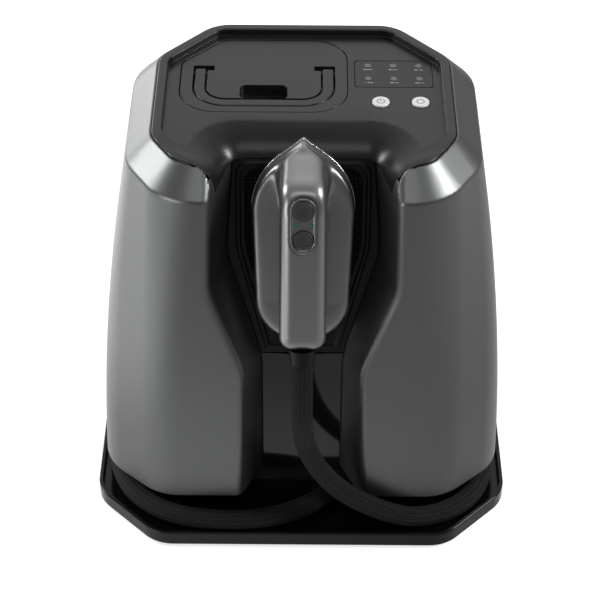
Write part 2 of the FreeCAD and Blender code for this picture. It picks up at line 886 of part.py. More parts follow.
# Rear cover: a piece of the tower's back wall with vents and the inlet's hole
rear_blank = common("rear_blank", [cut("walls", tower, hollow), box(
    "rear_window",
    ("-(rear_half_width - rear_gap)", "0", "rear_low + rear_gap"),
    ("rear_half_width - rear_gap", "tray_depth", "rear_high - rear_gap"),
)])
rear_tools = []
for slot in range(VENT_COUNT):
    low = f"vent_low + {slot} * vent_pitch"
    rear_tools.append(box("vent", ("-vent_width / 2", "0", low),
                          ("vent_width / 2", "tray_depth", f"{low} + vent_height")))


def rod_along(name, radius, length, start, direction):
    # A cylinder from a start point along any direction.
    rod = doc.addObject("Part::Cylinder", name)
    rod.setExpression("Radius", linked(radius))
    rod.setExpression("Height", linked(length))
    rod.Placement = Placement(start, Rotation(Vector(0, 0, 1), direction))
    return rod


def point(x, y, z):
    return Vector(value(x), value(y), value(z))


TO_BACK = Vector(0, 1, 0)
TO_RIGHT = Vector(1, 0, 0)
inlet_start = point("inlet_across", "bottom_back - 4 * shell_wall", "inlet_level")
rear_tools.append(rod_along("inlet_hole", "inlet_radius + screw_gap", "tray_depth", inlet_start, TO_BACK))
node(cut("rear_cover", rear_blank, fuse("rear_tools", rear_tools)), "rear_cover")

# Mains inlet bush: a sleeve through the rear cover with a flange outside
inlet_face = point("inlet_across", "bottom_back", "inlet_level")
bush = fuse("bush", [
    rod_along("bush_sleeve", "inlet_radius", "5 * shell_wall", inlet_start, TO_BACK),
    rod_along("bush_flange", "inlet_flange", "shell_wall", inlet_face, TO_BACK),
])
bore_start = inlet_start - TO_BACK * value("shell_wall")
bush_bore = rod_along("bush_bore", "inlet_bore", "9 * shell_wall", bore_start, TO_BACK)
node(cut("mains_inlet", bush, bush_bore), "mains_inlet")

# Top deck: a rimmed panel with the scoop, the tank's opening, the display's bed and the key holes
margin = "seam_land + seam_gap"
deck_low = f"{SEAM} - deck_skirt"
deck_block = prism("deck_block", [seam_outline(f"(-({margin}))")], deck_low, RIM_TOP)
deck_under = prism("deck_under", [seam_outline(f"(-({margin} + deck_wall))")],
                   f"{deck_low} - deck_wall", DECK_UNDER)
inner_front = "(seam_front - deck_front_margin + rim_width)"
inner_outline = octagon(
    "seam_half_width", inner_front, "seam_back",
    ("deck_front_chamfer", "deck_front_chamfer"), ("seam_back_across", "seam_back_along"),
    "deck_inner_radius + rim_width", "(-rim_width)",
)
deck_bed = prism("deck_bed", [inner_outline], DECK_TOP, ABOVE)
scoop_walls = common("scoop_walls", [
    scoop_outside,
    box("scoop_span", ("-seam_half_width", f"-(seam_front - {margin})", DOCK_TOP),
        ("seam_half_width", "0", DECK_TOP)),
])
BOARD_LEFT = "display_left"
BOARD_RIGHT = "display_right + board_margin"
BOARD_FRONT = "-(key_along + key_radius + board_margin)"
BOARD_BACK = "display_back"
posts = []
for x in (f"{BOARD_LEFT} + board_margin", f"{BOARD_RIGHT} - board_margin"):
    for y in (f"{BOARD_FRONT} + board_margin", f"{BOARD_BACK} - board_margin"):
        posts.append(cylinder("board_post", "post_radius", BOARD_TOP,
                              f"{DECK_UNDER} - ({BOARD_TOP})", x, y))
deck_sharp = cut("deck_sharp", cut("deck_hollow", deck_block, deck_under), deck_bed)
doc.recompute()
deck_plain = doc.addObject("Part::Fillet", "deck_plain")
deck_plain.Base = deck_sharp
rim_edges = []
for number, edge in enumerate(deck_sharp.Shape.Edges, start=1):
    if edge.BoundBox.ZMin > value(RIM_TOP) - 0.01:
        rim_edges.append((number, value("deck_edge_radius"), value("deck_edge_radius")))
deck_plain.Edges = rim_edges
deck_solid = fuse("deck_solid", [deck_plain, scoop_walls] + posts)
deck_tools = [
    scoop,
    prism("lid_hole", [lid_outline("lid_gap")], f"{deck_low} - deck_wall", ABOVE),
    prism("display_bed", [rectangle(
        "display_left - display_gap", "display_front - display_gap",
        "display_right + display_gap", "display_back + display_gap", "display_corner_radius",
    )], f"{DECK_TOP} - display_thickness", ABOVE),
]
KEYS = {"power_button": "power_key_across", "mode_button": "mode_key_across"}
for across in KEYS.values():
    deck_tools.append(cylinder("key_hole", "key_radius + key_gap", DECK_UNDER + " - deck_wall",
                               "4 * deck_wall", across, "-key_along"))
node(cut("top_deck", deck_solid, fuse("deck_tools", deck_tools)), "top_deck")

# Display window with its round indicator lenses
display_blank = prism("display_blank", [rectangle(
    "display_left", "display_front", "display_right", "display_back", "display_corner_radius",
)], f"{DECK_TOP} - display_thickness", DECK_TOP)
lens_places = []
for column in (-1, 0, 1):
    for row in (-0.5, 0.5):
        lens_places.append((
            f"(display_left + display_right) / 2 + {column} * lens_pitch_across",
            f"(display_front + display_back) / 2 + lens_shift + {row} * lens_pitch_along",
        ))
window_low = f"{DECK_TOP} - display_thickness"
lens_holes = fuse("lens_holes", [
    cylinder("lens_hole", "lens_radius + lens_gap", window_low, "2 * display_thickness", x, y)
    for x, y in lens_places
])
node(cut("display_window", display_blank, lens_holes), "display_window")
group("indicator_lenses", [
    cylinder("lens", "lens_radius", window_low, "display_thickness + lens_proud", x, y)
    for x, y in lens_places
])

# Round keys with stems, and the board and switches under them
SWITCH_TOP = f"{BOARD_TOP} + switch_height"
STEM_LOW = f"{SWITCH_TOP} + key_travel + switch_gap"
switches = []
for name, across in KEYS.items():
    key = node(new_body(name), name)
    pad(key, "XY", DECK_UNDER, "deck_thickness + key_proud", [(across, "-key_along", "key_radius")])
    key_top = value(f"{DECK_TOP} + key_proud")
    fillet(key, "key_proud / 2", lambda edge: edge.BoundBox.ZMin > key_top - 0.01)
    pad(key, "XY", STEM_LOW, f"{DECK_UNDER} - ({STEM_LOW})", [(across, "-key_along", "key_stem_radius")])
    switches.append(box(
        "switch", (f"{across} - switch_size / 2", "-key_along - switch_size / 2", BOARD_TOP),
        (f"{across} + switch_size / 2", "-key_along + switch_size / 2", SWITCH_TOP),
    ))
group("key_switches", switches)
node(box("control_board", (BOARD_LEFT, BOARD_FRONT, f"{BOARD_TOP} - board_thickness"),
         (BOARD_RIGHT, BOARD_BACK, BOARD_TOP)), "control_board")

# Lower front panel, between the wings and under the dock
lower_slab = box("lower_slab", ("-recess_front_half", "-dock_foot", "hose_level + gland_radius + panel_gap"),
                 ("recess_front_half", "-dock_foot + panel_thickness",
                  "dock_floor - panel_thickness * sin(dock_lean * 1 deg) - panel_gap"))
node(common("lower_front_panel", [lower_slab, recess_inside]), "lower_front_panel")


def dock_sketch(name, loops, level):
    sketch = doc.addObject("Sketcher::SketchObject", name)
    sketch.Placement = DOCK.multiply(Placement(Vector(0, 0, value(level)), Rotation()))
    draw(sketch, loops)
    return sketch


def dock_prism(name, loops, low, high):
    block = doc.addObject("Part::Extrusion", name)
    block.Base = dock_sketch(f"{name}_outline", loops, low)
    block.DirMode = "Normal"
    block.setExpression("LengthFwd", linked(f"({high}) - ({low})"))
    block.Solid = True
    return block


# Dock panel with its raised lip and the ledge under the handset's heel, and the soft pad in it
def lip_outline(inset, low):
    return both_sides([
        (f"lip_half_low - ({inset})", low, None),
        (f"lip_half_top - ({inset})", "lip_shoulder", "recess_bend"),
        (f"lip_half_top - ({inset})", f"dock_length - lip_inset - ({inset})", "lip_corner_radius"),
    ])


dock_slab = dock_prism("dock_slab", [rectangle(
    "-recess_front_half", "0", "recess_front_half", "dock_length - seam_gap",
)], "-panel_thickness", "0")
dock_plate = common("dock_plate", [dock_slab, recess_inside])
dock_lip = dock_prism("dock_lip", [
    lip_outline("0", "lip_low"),
    lip_outline("lip_width", "lip_low + lip_width"),
], "0", "lip_height")
LEDGE_TOP = "iron_end - seat_clearance"
dock_ledge = dock_prism("dock_ledge", [rectangle(
    "-ledge_half_width", f"{LEDGE_TOP} - ledge_thickness", "ledge_half_width", LEDGE_TOP,
)], "0", "ledge_reach")
node(fuse("dock_panel", [dock_plate, dock_lip, dock_ledge]), "dock_panel")
node(dock_prism("dock_pad", [lip_outline("pad_margin", "iron_end")], "0", "pad_thickness"), "dock_pad")

# Water tank: an open box under its lid, with the outlet valve in its floor
TANK_ACROSS = "(lid_right - lid_left) / 2"
TANK_ALONG = "(lid_back - lid_front) / 2"
tank = node(new_body("tank_body"), "tank_body")
pad(tank, "XY", "tank_bottom", f"{LID_UNDER} - tank_bottom", [lid_outline("(-tank_inset)")])
pocket(tank, "XY", LID_UNDER, f"{LID_UNDER} - tank_bottom - tank_wall",
       [lid_outline("(-tank_inset - tank_wall)")])
pocket(tank, "XY", "tank_bottom + tank_wall", "tank_wall",
       [(TANK_ACROSS, TANK_ALONG, "valve_radius + screw_gap")])
valve_top = "tank_bottom + tank_wall"
node(fuse("tank_valve", [
    cylinder("valve_stem", "valve_radius", "tank_bottom - valve_height", "valve_height + tank_wall",
             TANK_ACROSS, TANK_ALONG),
    cylinder("valve_head", "valve_radius + valve_flange", valve_top, "valve_flange",
             TANK_ACROSS, TANK_ALONG),
]), "tank_valve")


# Tank lid: a block with a spigot in the tank, the handle's groove, the finger recess and the pin holes
def handle_outline(grow):
    outer = f"(handle_half_span + {grow})"
    inner = f"(handle_half_span - handle_width - {grow})"
    front = f"-(handle_front + {grow})"
    inner_edge = f"-handle_front + handle_width + {grow}"
    back = f"pivot_back + handle_thickness / 2 + {grow}"
    outer_round = f"handle_corner_radius + {grow}"
    inner_round = f"handle_corner_radius - handle_width - {grow}"
    return [
        (f"{TANK_ACROSS} - {outer}", back, None),
        (f"{TANK_ACROSS} - {outer}", front, outer_round),
        (f"{TANK_ACROSS} + {outer}", front, outer_round),
        (f"{TANK_ACROSS} + {outer}", back, None),
        (f"{TANK_ACROSS} + {inner}", back, None),
        (f"{TANK_ACROSS} + {inner}", inner_edge, inner_round),
        (f"{TANK_ACROSS} - {inner}", inner_edge, inner_round),
        (f"{TANK_ACROSS} - {inner}", back, None),
    ]


PIVOT_LEVEL = f"{DECK_TOP} - handle_thickness / 2"
GROOVE_OUTER = "(handle_half_span + handle_gap)"
GROOVE_INNER = "(handle_half_span - handle_width - handle_gap)"
PIN_LENGTH = f"{GROOVE_OUTER} - {GROOVE_INNER} + notch_size + 2 * pin_bite"
groove_depth = "handle_thickness + handle_gap"
lid = node(new_body("tank_lid"), "tank_lid")
pad(lid, "XY", LID_UNDER, "lid_thickness", [lid_outline()])
fillet(lid, "lid_edge_radius", lambda edge: edge.BoundBox.ZMin > value(DECK_TOP) - 0.01)
pad(lid, "XY", f"{LID_UNDER} - tank_inset", "tank_inset",
    [lid_outline("(-tank_inset - tank_wall - seat_clearance)")])
pocket(lid, "XY", DECK_TOP, groove_depth, [handle_outline("handle_gap")])
pocket(lid, "XY", DECK_TOP, "finger_depth", [rectangle(
    f"{TANK_ACROSS} - finger_half_width", "-handle_front + handle_width",
    f"{TANK_ACROSS} + finger_half_width", "finger_reach", "notch_size",
)])
for side in ("+", "-"):
    inner = f"{TANK_ACROSS} {side} {GROOVE_INNER}"
    far = f"{inner} {'-' if side == '+' else '+'} notch_size"
    left, right = (far, inner) if side == "+" else (inner, far)
    notch_back = "pivot_back + handle_thickness / 2 + handle_gap"
    notch_front = f"{notch_back} - notch_size - handle_gap"
    pocket(lid, "XY", DECK_TOP, groove_depth, [rectangle(left, notch_front, right, notch_back)])
pins = []
for side in ("+", "-"):
    start = f"{GROOVE_INNER} - notch_size - pin_bite" if side == "+" else f"-({GROOVE_OUTER} + pin_bite)"
    first = f"{TANK_ACROSS} + {start}"
    pocket(lid, "YZ", f"{first} + {PIN_LENGTH}", PIN_LENGTH,
           [("pivot_back", PIVOT_LEVEL, "pin_radius + pin_seat_clearance")])
    pin_start = point(first, "pivot_back", PIVOT_LEVEL)
    pins.append(rod_along("handle_pin", "pin_radius", PIN_LENGTH, pin_start, TO_RIGHT))
group("handle_pins", pins)

# Folding handle: a bail with rounded ends that turns on the two pins
handle = node(new_body("tank_handle"), "tank_handle")
pad(handle, "XY", f"{DECK_TOP} - handle_thickness", "handle_thickness", [handle_outline("0")])
handle_end = value("pivot_back + handle_thickness / 2")
fillet(handle, "handle_thickness / 2 - pin_clearance",
       lambda edge: edge.BoundBox.YMin > handle_end - 0.01 and edge.BoundBox.ZLength < 0.01)
handle_face = value(DECK_TOP)
fillet(handle, "handle_edge_radius",
       lambda edge: edge.BoundBox.ZMin > handle_face - 0.01 and edge.BoundBox.YMin < 0)
pocket(handle, "YZ", f"{TANK_ACROSS} + {GROOVE_OUTER}", f"2 * {GROOVE_OUTER}",
       [("pivot_back", PIVOT_LEVEL, "pin_radius + pin_clearance")])

# Tank well: walls round the tank, a floor with the valve's seat, and a skirt that stands on the chassis
well = node(new_body("tank_well"), "tank_well")
well_inside = lid_outline("(-tank_inset + well_gap)")
SEAT_LOW = f"{WELL_FLOOR} + well_floor"
pad(well, "XY", CHASSIS_TOP, f"{WELL_TOP} - ({CHASSIS_TOP})",
    [lid_outline("(-tank_inset + well_gap + well_wall)")])
pocket(well, "XY", WELL_TOP, f"{WELL_TOP} - ({SEAT_LOW})", [well_inside])
pocket(well, "XY", WELL_FLOOR, f"{WELL_FLOOR} - ({CHASSIS_TOP})", [well_inside])
pocket(well, "XY", SEAT_LOW, "well_floor", [(TANK_ACROSS, TANK_ALONG, "drain_radius")])
pump_axis = f"{CHASSIS_TOP} + pump_lift + pump_radius"
pocket(well, "YZ", "lid_right + well_gap", "well_gap + well_wall + tank_inset", [rectangle(
    f"{TANK_ALONG} - pump_radius", CHASSIS_TOP, f"{TANK_ALONG} + pump_radius", f"{pump_axis} + pump_radius",
)])
SEAT_HEIGHT = f"tank_bottom - seat_clearance - ({SEAT_LOW})"
SEAL_INSIDE = "valve_radius + seat_clearance"
SEAL_OUTSIDE = f"{SEAL_INSIDE} + seal_wire"


def seat_tube(name, outside, inside):
    # An upright ring round the tank's valve, on the well's floor.
    rods = []
    for part, radius in (("outside", outside), ("bore", inside)):
        rods.append(cylinder(f"{name}_{part}", radius, SEAT_LOW, SEAT_HEIGHT, TANK_ACROSS, TANK_ALONG))
    return node(cut(name, *rods), name)


seat_tube("valve_seat", "seat_radius", SEAL_OUTSIDE)
seat_tube("seat_seal", SEAL_OUTSIDE, SEAL_INSIDE)

# Pump under the tank, with its inlet in the well's floor and its outlet towards the boiler
pump_half = "pump_length / 2"
pump_back = point(f"{TANK_ACROSS} - {pump_half}", TANK_ALONG, pump_axis)
pump_middle = point(TANK_ACROSS, TANK_ALONG, pump_axis)
node(fuse("pump", [
    rod_along("pump_motor", "pump_radius", "pump_length", pump_back, TO_RIGHT),
    box("pump_foot", (f"{TANK_ACROSS} - {pump_half} / 2", f"{TANK_ALONG} - pump_radius", CHASSIS_TOP),
        (f"{TANK_ACROSS} + {pump_half} / 2", f"{TANK_ALONG} + pump_radius", pump_axis)),
    cylinder("pump_inlet", "spigot_radius", pump_axis, f"{WELL_FLOOR} - ({pump_axis})",
             TANK_ACROSS, TANK_ALONG),
    rod_along("pump_outlet", "spigot_radius", f"{pump_half} + spigot_length", pump_middle, TO_RIGHT),
]), "pump")

# Boiler in its ring stand, with the steam valve, the relief valve and the thermostat on top
BOILER_LOW = f"{CHASSIS_TOP} + boiler_lift"
BOILER_TOP = f"{BOILER_LOW} + boiler_height"
boiler_round = ("boiler_across", "boiler_along", "boiler_radius")
drum = new_body("boiler_drum")
pad(drum, "XY", BOILER_LOW, "boiler_height", [boiler_round])
fillet(drum, "boiler_dome", lambda edge: edge.BoundBox.ZLength < 0.01)
boiler_side = "boiler_across - boiler_radius - boss_length"
boss_start = point(boiler_side, TANK_ALONG, pump_axis)
boss = rod_along("boiler_boss", "boss_radius", "boss_length + boiler_dome", boss_start, TO_RIGHT)
node(fuse("boiler", [drum, boss]), "boiler")
stand_outer = cylinder("stand_outer", "boiler_radius + stand_gap + stand_wall", CHASSIS_TOP, "stand_height",
                       "boiler_across", "boiler_along")
stand_inner = cylinder("stand_inner", "boiler_radius + stand_gap", CHASSIS_TOP, "stand_height",
                       "boiler_across", "boiler_along")
gate_half = "boss_radius + stand_wall"
stand_gate = box("stand_gate",
                 ("boiler_across - 2 * boiler_radius", f"{TANK_ALONG} - ({gate_half})", CHASSIS_TOP),
                 ("boiler_across", f"{TANK_ALONG} + {gate_half}", f"{CHASSIS_TOP} + stand_height"))
node(cut("boiler_stand", cut("stand_tube", stand_outer, stand_inner), stand_gate), "boiler_stand")
half_valve = "valve_body / 2"
node(fuse("steam_valve", [
    box("valve_block", (f"boiler_across - {half_valve}", f"boiler_along - {half_valve}", BOILER_TOP),
        (f"boiler_across + {half_valve}", f"boiler_along + {half_valve}", f"{BOILER_TOP} + valve_body")),
    cylinder("valve_coil", "coil_radius", f"{BOILER_TOP} + valve_body", "coil_height",
             "boiler_across", "boiler_along"),
]), "steam_valve")
node(cylinder("relief_valve", "relief_radius", BOILER_TOP, "relief_height",
              f"boiler_across + {half_valve} + relief_radius", "boiler_along"), "relief_valve")
node(cylinder("thermostat", "thermostat_radius", BOILER_TOP, "thermostat_height", "boiler_across",
              f"boiler_along + {half_valve} + thermostat_radius"), "thermostat")

# Water tube from the pump to the boiler
tube_start = f"{TANK_ACROSS} + {pump_half} + spigot_length"
tube_length = f"{boiler_side} - ({tube_start})"
tube_from = point(tube_start, TANK_ALONG, pump_axis)
node(cut(
    "water_tube",
    rod_along("water_tube_outside", "water_tube_radius", tube_length, tube_from, TO_RIGHT),
    rod_along("water_tube_bore", "water_tube_radius - tube_wall", tube_length, tube_from, TO_RIGHT),
), "water_tube")


# A round tube along hand-chosen points: straight runs joined by arcs as large as the runs allow
ARC_SHARE = 0.45


def rounded_route(points, label):
    edges = []
    here = points[0]
    tightest = None
    for before, corner, after in zip(points, points[1:], points[2:]):
        into = (corner - before).normalize()
        out = (after - corner).normalize()
        setback = ARC_SHARE * min((corner - before).Length, (after - corner).Length)
        turn = into.getAngle(out)
        radius = setback / math.tan(turn / 2)
        first = corner - into * setback
        last = corner + out * setback
        bisector = (out - into).normalize()
        centre = corner + bisector * (radius / math.cos(turn / 2))
        middle = centre - bisector * radius
        edges.append(Part.LineSegment(here, first).toShape())
        edges.append(Part.Arc(first, middle, last).toShape())
        here = last
        tightest = radius if tightest is None else min(tightest, radius)
    edges.append(Part.LineSegment(here, points[-1]).toShape())
    print(f"{label}: tightest radius {tightest:.1f}")
    return edges


def tube(name, edges, radius):
    path = Part.Wire(edges)
    start = edges[0].firstVertex().Point
    heading = edges[0].tangentAt(edges[0].FirstParameter)
    ring = Part.Wire(Part.Circle(start, heading, radius).toShape())
    solid = path.makePipeShell([ring], True, False)
    expected = math.pi * radius ** 2 * path.Length
    print(f"{name}: length {path.Length:.0f}, volume {solid.Volume:.0f} of {expected:.0f}")
    feature = doc.addObject("Part::Feature", name)
    feature.Shape = solid
    return node(feature, name)


# Hose gland: a slanted sleeve on the plinth's front, with a spigot inside that turns up to the steam tube
heading = math.radians(value("gland_heading"))
INTO_PLINTH = Vector(math.cos(heading), math.sin(heading), 0)
gland_mouth = Vector(HOSE_GLAND[0], HOSE_GLAND[1], value("hose_level"))
to_wall = (-value("plinth_front") - gland_mouth.y) / INTO_PLINTH.y
wall_point = gland_mouth + INTO_PLINTH * to_wall
spigot_reach = value("plinth_wall") / INTO_PLINTH.y + value("gland_spigot_length")
spigot_end = wall_point + INTO_PLINTH * spigot_reach
gland_sleeve = doc.addObject("Part::Cylinder", "gland_sleeve")
gland_sleeve.setExpression("Radius", linked("gland_radius"))
gland_sleeve.Height = to_wall + 2 * value("gland_radius")
gland_sleeve.Placement = Placement(gland_mouth, Rotation(Vector(0, 0, 1), INTO_PLINTH))
ahead_of_plinth = box("ahead_of_plinth", ("-tray_width", "-tray_depth", FLOOR_TOP),
                      ("tray_width", "-plinth_front", "dock_floor"))


def gland_spigot(name, radius):
    rod = doc.addObject("Part::Cylinder", name)
    rod.setExpression("Radius", linked(radius))
    rod.Height = spigot_reach + value("gland_spigot_radius")
    rod.Placement = Placement(wall_point, Rotation(Vector(0, 0, 1), INTO_PLINTH))
    return rod


def gland_riser(name, radius, top):
    rod = doc.addObject("Part::Cylinder", name)
    rod.setExpression("Radius", linked(radius))
    rod.Height = value(top) - spigot_end.z
    rod.Placement = Placement(spigot_end, Rotation())
    return rod


node(fuse("hose_gland", [
    common("gland_outside", [gland_sleeve, ahead_of_plinth]),
    gland_spigot("gland_spigot", "gland_spigot_radius"),
    gland_riser("gland_riser", "gland_riser_radius", "gland_riser_top"),
]), "hose_gland")
gland_ways = fuse("gland_ways", [
    gland_spigot("spigot_way", "gland_spigot_radius + gland_spigot_gap"),
    gland_riser("riser_way", "gland_riser_radius + gland_spigot_gap", "gland_riser_top"),
])
node(cut("base_chassis", chassis, gland_ways), "base_chassis")

# Steam tube from the valve on the boiler, down behind the right wing to the gland
valve_port = point("boiler_across", f"boiler_along - {half_valve}", f"{BOILER_TOP} + {half_valve}")
riser_top = Vector(spigot_end.x, spigot_end.y, value("gland_riser_top"))
STEAM_ROUTE = [(92, -12, 195), (86, -40, 174), (73, -58, 142), (59, -68, 106), (51, -71.5, 72)]
steam_points = [valve_port] + [Vector(*place) for place in STEAM_ROUTE] + [riser_top]
tube("steam_tube", rounded_route(steam_points, "steam_tube"), value("steam_tube_radius"))


# Handset, built in the dock's plane
def iron_outline(grow="0"):
    # A pointed arch on sides that draw in a little towards a round end; grow offsets it all.
    run = "(iron_half_width - iron_end_half)"
    drop = "(iron_shoulder - iron_end)"
    side = f"sqrt({run} ^ 2 + {drop} ^ 2)"
    rise = "(iron_tip - iron_shoulder)"
    arch = f"sqrt(iron_half_width ^ 2 + {rise} ^ 2)"
    spread = f"({grow}) / (1 + ({drop} * {rise} - {run} * iron_half_width) / ({side} * {arch}))"
    right = [
        (f"iron_end_half + {grow} * ({side} - {run}) / {drop}", f"iron_end - {grow}",
         f"iron_end_radius + {grow}"),
        (f"iron_half_width + {spread} * ({drop} / {side} + {rise} / {arch})",
         f"iron_shoulder + {spread} * (iron_half_width / {arch} - {run} / {side})",
         f"iron_shoulder_radius + {grow}"),
    ]
    tip = ("0", f"iron_tip + {grow} * {arch} / iron_half_width", "iron_tip_radius")
    return right + [tip] + [(neg(x), y, radius) for x, y, radius in reversed(right)]


SOLE_LOW = "pad_thickness + seat_clearance"
SOLE_TOP = f"{SOLE_LOW} + sole_thickness"
HEAD_LOW = f"{SOLE_TOP} + insulator_thickness"
HEAD_TOP = f"{HEAD_LOW} + head_height"
steam_holes = []
for row in range(SOLE_HOLES):
    along = f"iron_shoulder - {row} * sole_hole_pitch - sole_hole_inset"
    steam_holes.append(("iron_half_width - sole_inset - sole_hole_inset", along, "sole_hole_radius"))
    steam_holes.append(("-(iron_half_width - sole_inset - sole_hole_inset)", along, "sole_hole_radius"))
sole_loops = [iron_outline("(-sole_inset)")] + steam_holes
node(dock_prism("soleplate", sole_loops, SOLE_LOW, SOLE_TOP), "soleplate")
insulator_loops = [iron_outline("(-insulator_inset)")]
node(dock_prism("sole_insulator", insulator_loops, SOLE_TOP, HEAD_LOW), "sole_insulator")
node(loft("head_cover", [
    dock_sketch("head_foot", [iron_outline()], HEAD_LOW),
    dock_sketch("head_waist_line", [iron_outline("(-head_waist_inset)")], f"{HEAD_LOW} + head_waist"),
    dock_sketch("head_brow_line", [iron_outline("(-head_brow_inset)")], f"{HEAD_LOW} + head_brow"),
    dock_sketch("head_crown", [iron_outline("(-head_top_inset)")], HEAD_TOP),
], False), "head_cover")

# Handle grip: a bar on a neck, with wells for the buttons and a bed for their bezel
GRIP_UNDER = "grip_height - grip_thickness"
GRIP_AXIS = "(grip_height - grip_thickness / 2)"
grip = node(new_body("handle_grip", DOCK), "handle_grip")
pad(grip, "YZ", "-grip_half_width", "2 * grip_half_width", [[
    ("grip_end", GRIP_UNDER, "grip_end_radius"),
    ("grip_neck_top", GRIP_UNDER, "grip_throat_radius"),
    ("grip_neck_back", HEAD_TOP, None),
    ("grip_foot", HEAD_TOP, None),
    ("grip_front", "grip_height", "grip_nose_radius"),
    ("grip_end", "grip_height", "grip_end_radius"),
]])
grip_floor = value(HEAD_TOP)
fillet(grip, "grip_edge_radius",
       lambda edge: edge.BoundBox.XLength < 0.01 and edge.BoundBox.ZMax > grip_floor + 0.1)


def bezel_outline(grow="0"):
    half = f"(bezel_half_width + {grow})"
    round_end = f"{half} - light_proud"
    return rectangle(neg(half), f"bezel_back - {grow}", half, f"bezel_front + {grow}", round_end)


BUTTONS = {
    "steam_button": ("steam_button_place", "steam_button_radius"),
    "lock_button": ("lock_button_place", "lock_button_radius"),
}
bezel_low = "grip_height + bezel_proud - bezel_thickness"
bezel_top = "grip_height + bezel_proud"
pocket(grip, "XY", "grip_height", "bezel_thickness - bezel_proud", [bezel_outline("button_gap")])
handset_switches = []
bezel_holes = []
for name, (place, radius) in BUTTONS.items():
    pocket(grip, "XY", "grip_height", "button_well", [("0", place, f"{radius} + button_gap")])
    bezel_holes.append(("0", place, f"{radius} + button_gap"))
    button = node(new_body(name, DOCK), name)
    pad(button, "XY", "grip_height - button_depth", "button_depth + bezel_proud + button_proud",
        [("0", place, radius)])
    button_top = value(f"{bezel_top} + button_proud")
    fillet(button, "button_proud * 0.6", lambda edge: edge.BoundBox.ZMin > button_top - 0.01)
    handset_switches.append(dock_prism("handset_switch", [rectangle(
        "-switch_size / 2", f"{place} - switch_size / 2", "switch_size / 2", f"{place} + switch_size / 2",
    )], "grip_height - button_well", "grip_height - button_depth - button_travel - switch_gap"))
group("handset_switches", handset_switches)
light_places = [("light_half_pitch", "light_place"), ("-light_half_pitch", "light_place")]
light_holes = [(x, y, "light_radius + lens_gap") for x, y in light_places]
bezel_loops = [bezel_outline()] + bezel_holes + light_holes
node(dock_prism("button_bezel", bezel_loops, bezel_low, bezel_top), "button_bezel")
group("handset_lights", [
    dock_prism("light", [(x, y, "light_radius")], bezel_low, f"{bezel_top} + light_proud")
    for x, y in light_places
])

# Hose collar on the end of the grip
collar = doc.addObject("Part::Cone", "hose_collar")
collar.setExpression("Radius1", linked("collar_radius"))
collar.setExpression("Radius2", linked("collar_tip_radius"))
collar.setExpression("Height", linked("collar_length"))
collar_foot = Vector(0, value("grip_end"), value(GRIP_AXIS))
collar.Placement = DOCK.multiply(Placement(collar_foot, Rotation(Vector(1, 0, 0), 90)))
node(collar, "hose_collar")

# Hose: one route in two pieces, the hanging stretch and the wrap round the foot
hose_start = DOCK.multVec(Vector(0, value("grip_end - collar_length"), value(GRIP_AXIS)))
hose_lead = DOCK.multVec(Vector(0, value("grip_end - collar_length - hose_lead"), value(GRIP_AXIS)))
level = value("hose_level")
hose_points = [hose_start, hose_lead] + [Vector(*place) for place in HOSE_HANG]
hose_points += [Vector(x, y, level) for x, y in HOSE_WRAP] + [gland_mouth]
hose_edges = rounded_route(hose_points, "hose")
split = 2 * (len(HOSE_HANG) + 2)
straight = hose_edges[split]
halfway = (straight.firstVertex().Point + straight.lastVertex().Point) * 0.5
hang_end = Part.LineSegment(straight.firstVertex().Point, halfway).toShape()
wrap_start = Part.LineSegment(halfway, straight.lastVertex().Point).toShape()
hose_radius = value("hose_diameter / 2")
tube("hose_drop", hose_edges[:split] + [hang_end], hose_radius)
tube("hose_wrap", [wrap_start] + hose_edges[split + 1:], hose_radius)

# Screws that hold the tray to the chassis
screws = []
for x in ("tray_screw_across", "-tray_screw_across"):
    for y in ("tray_screw_along", "-tray_screw_along"):
        screws.append(fuse("screw", [
            cylinder("screw_head", "screw_head_radius", "foot_height", "screw_head_height", x, y),
            cylinder("screw_shank", "screw_radius", "foot_height", "screw_length", x, y),
        ]))
group("tray_screws", screws)

doc.recompute()
for obj in doc.Objects:
    if "Invalid" in obj.State or "Error" in obj.State:
        raise RuntimeError(f"{obj.Label} failed: {obj.State}")
for obj in NODES:
    if obj.Shape.isNull() or not obj.Shape.isValid() or not obj.Shape.Solids:
        raise RuntimeError(f"{obj.Label} has no valid shape")
for obj in NODES:
    obj.Shape.exportStep(f"parts/{obj.Label}.step")
print(len(NODES), "nodes written")
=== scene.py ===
import bpy
import json
import math
from mathutils import Matrix, Vector

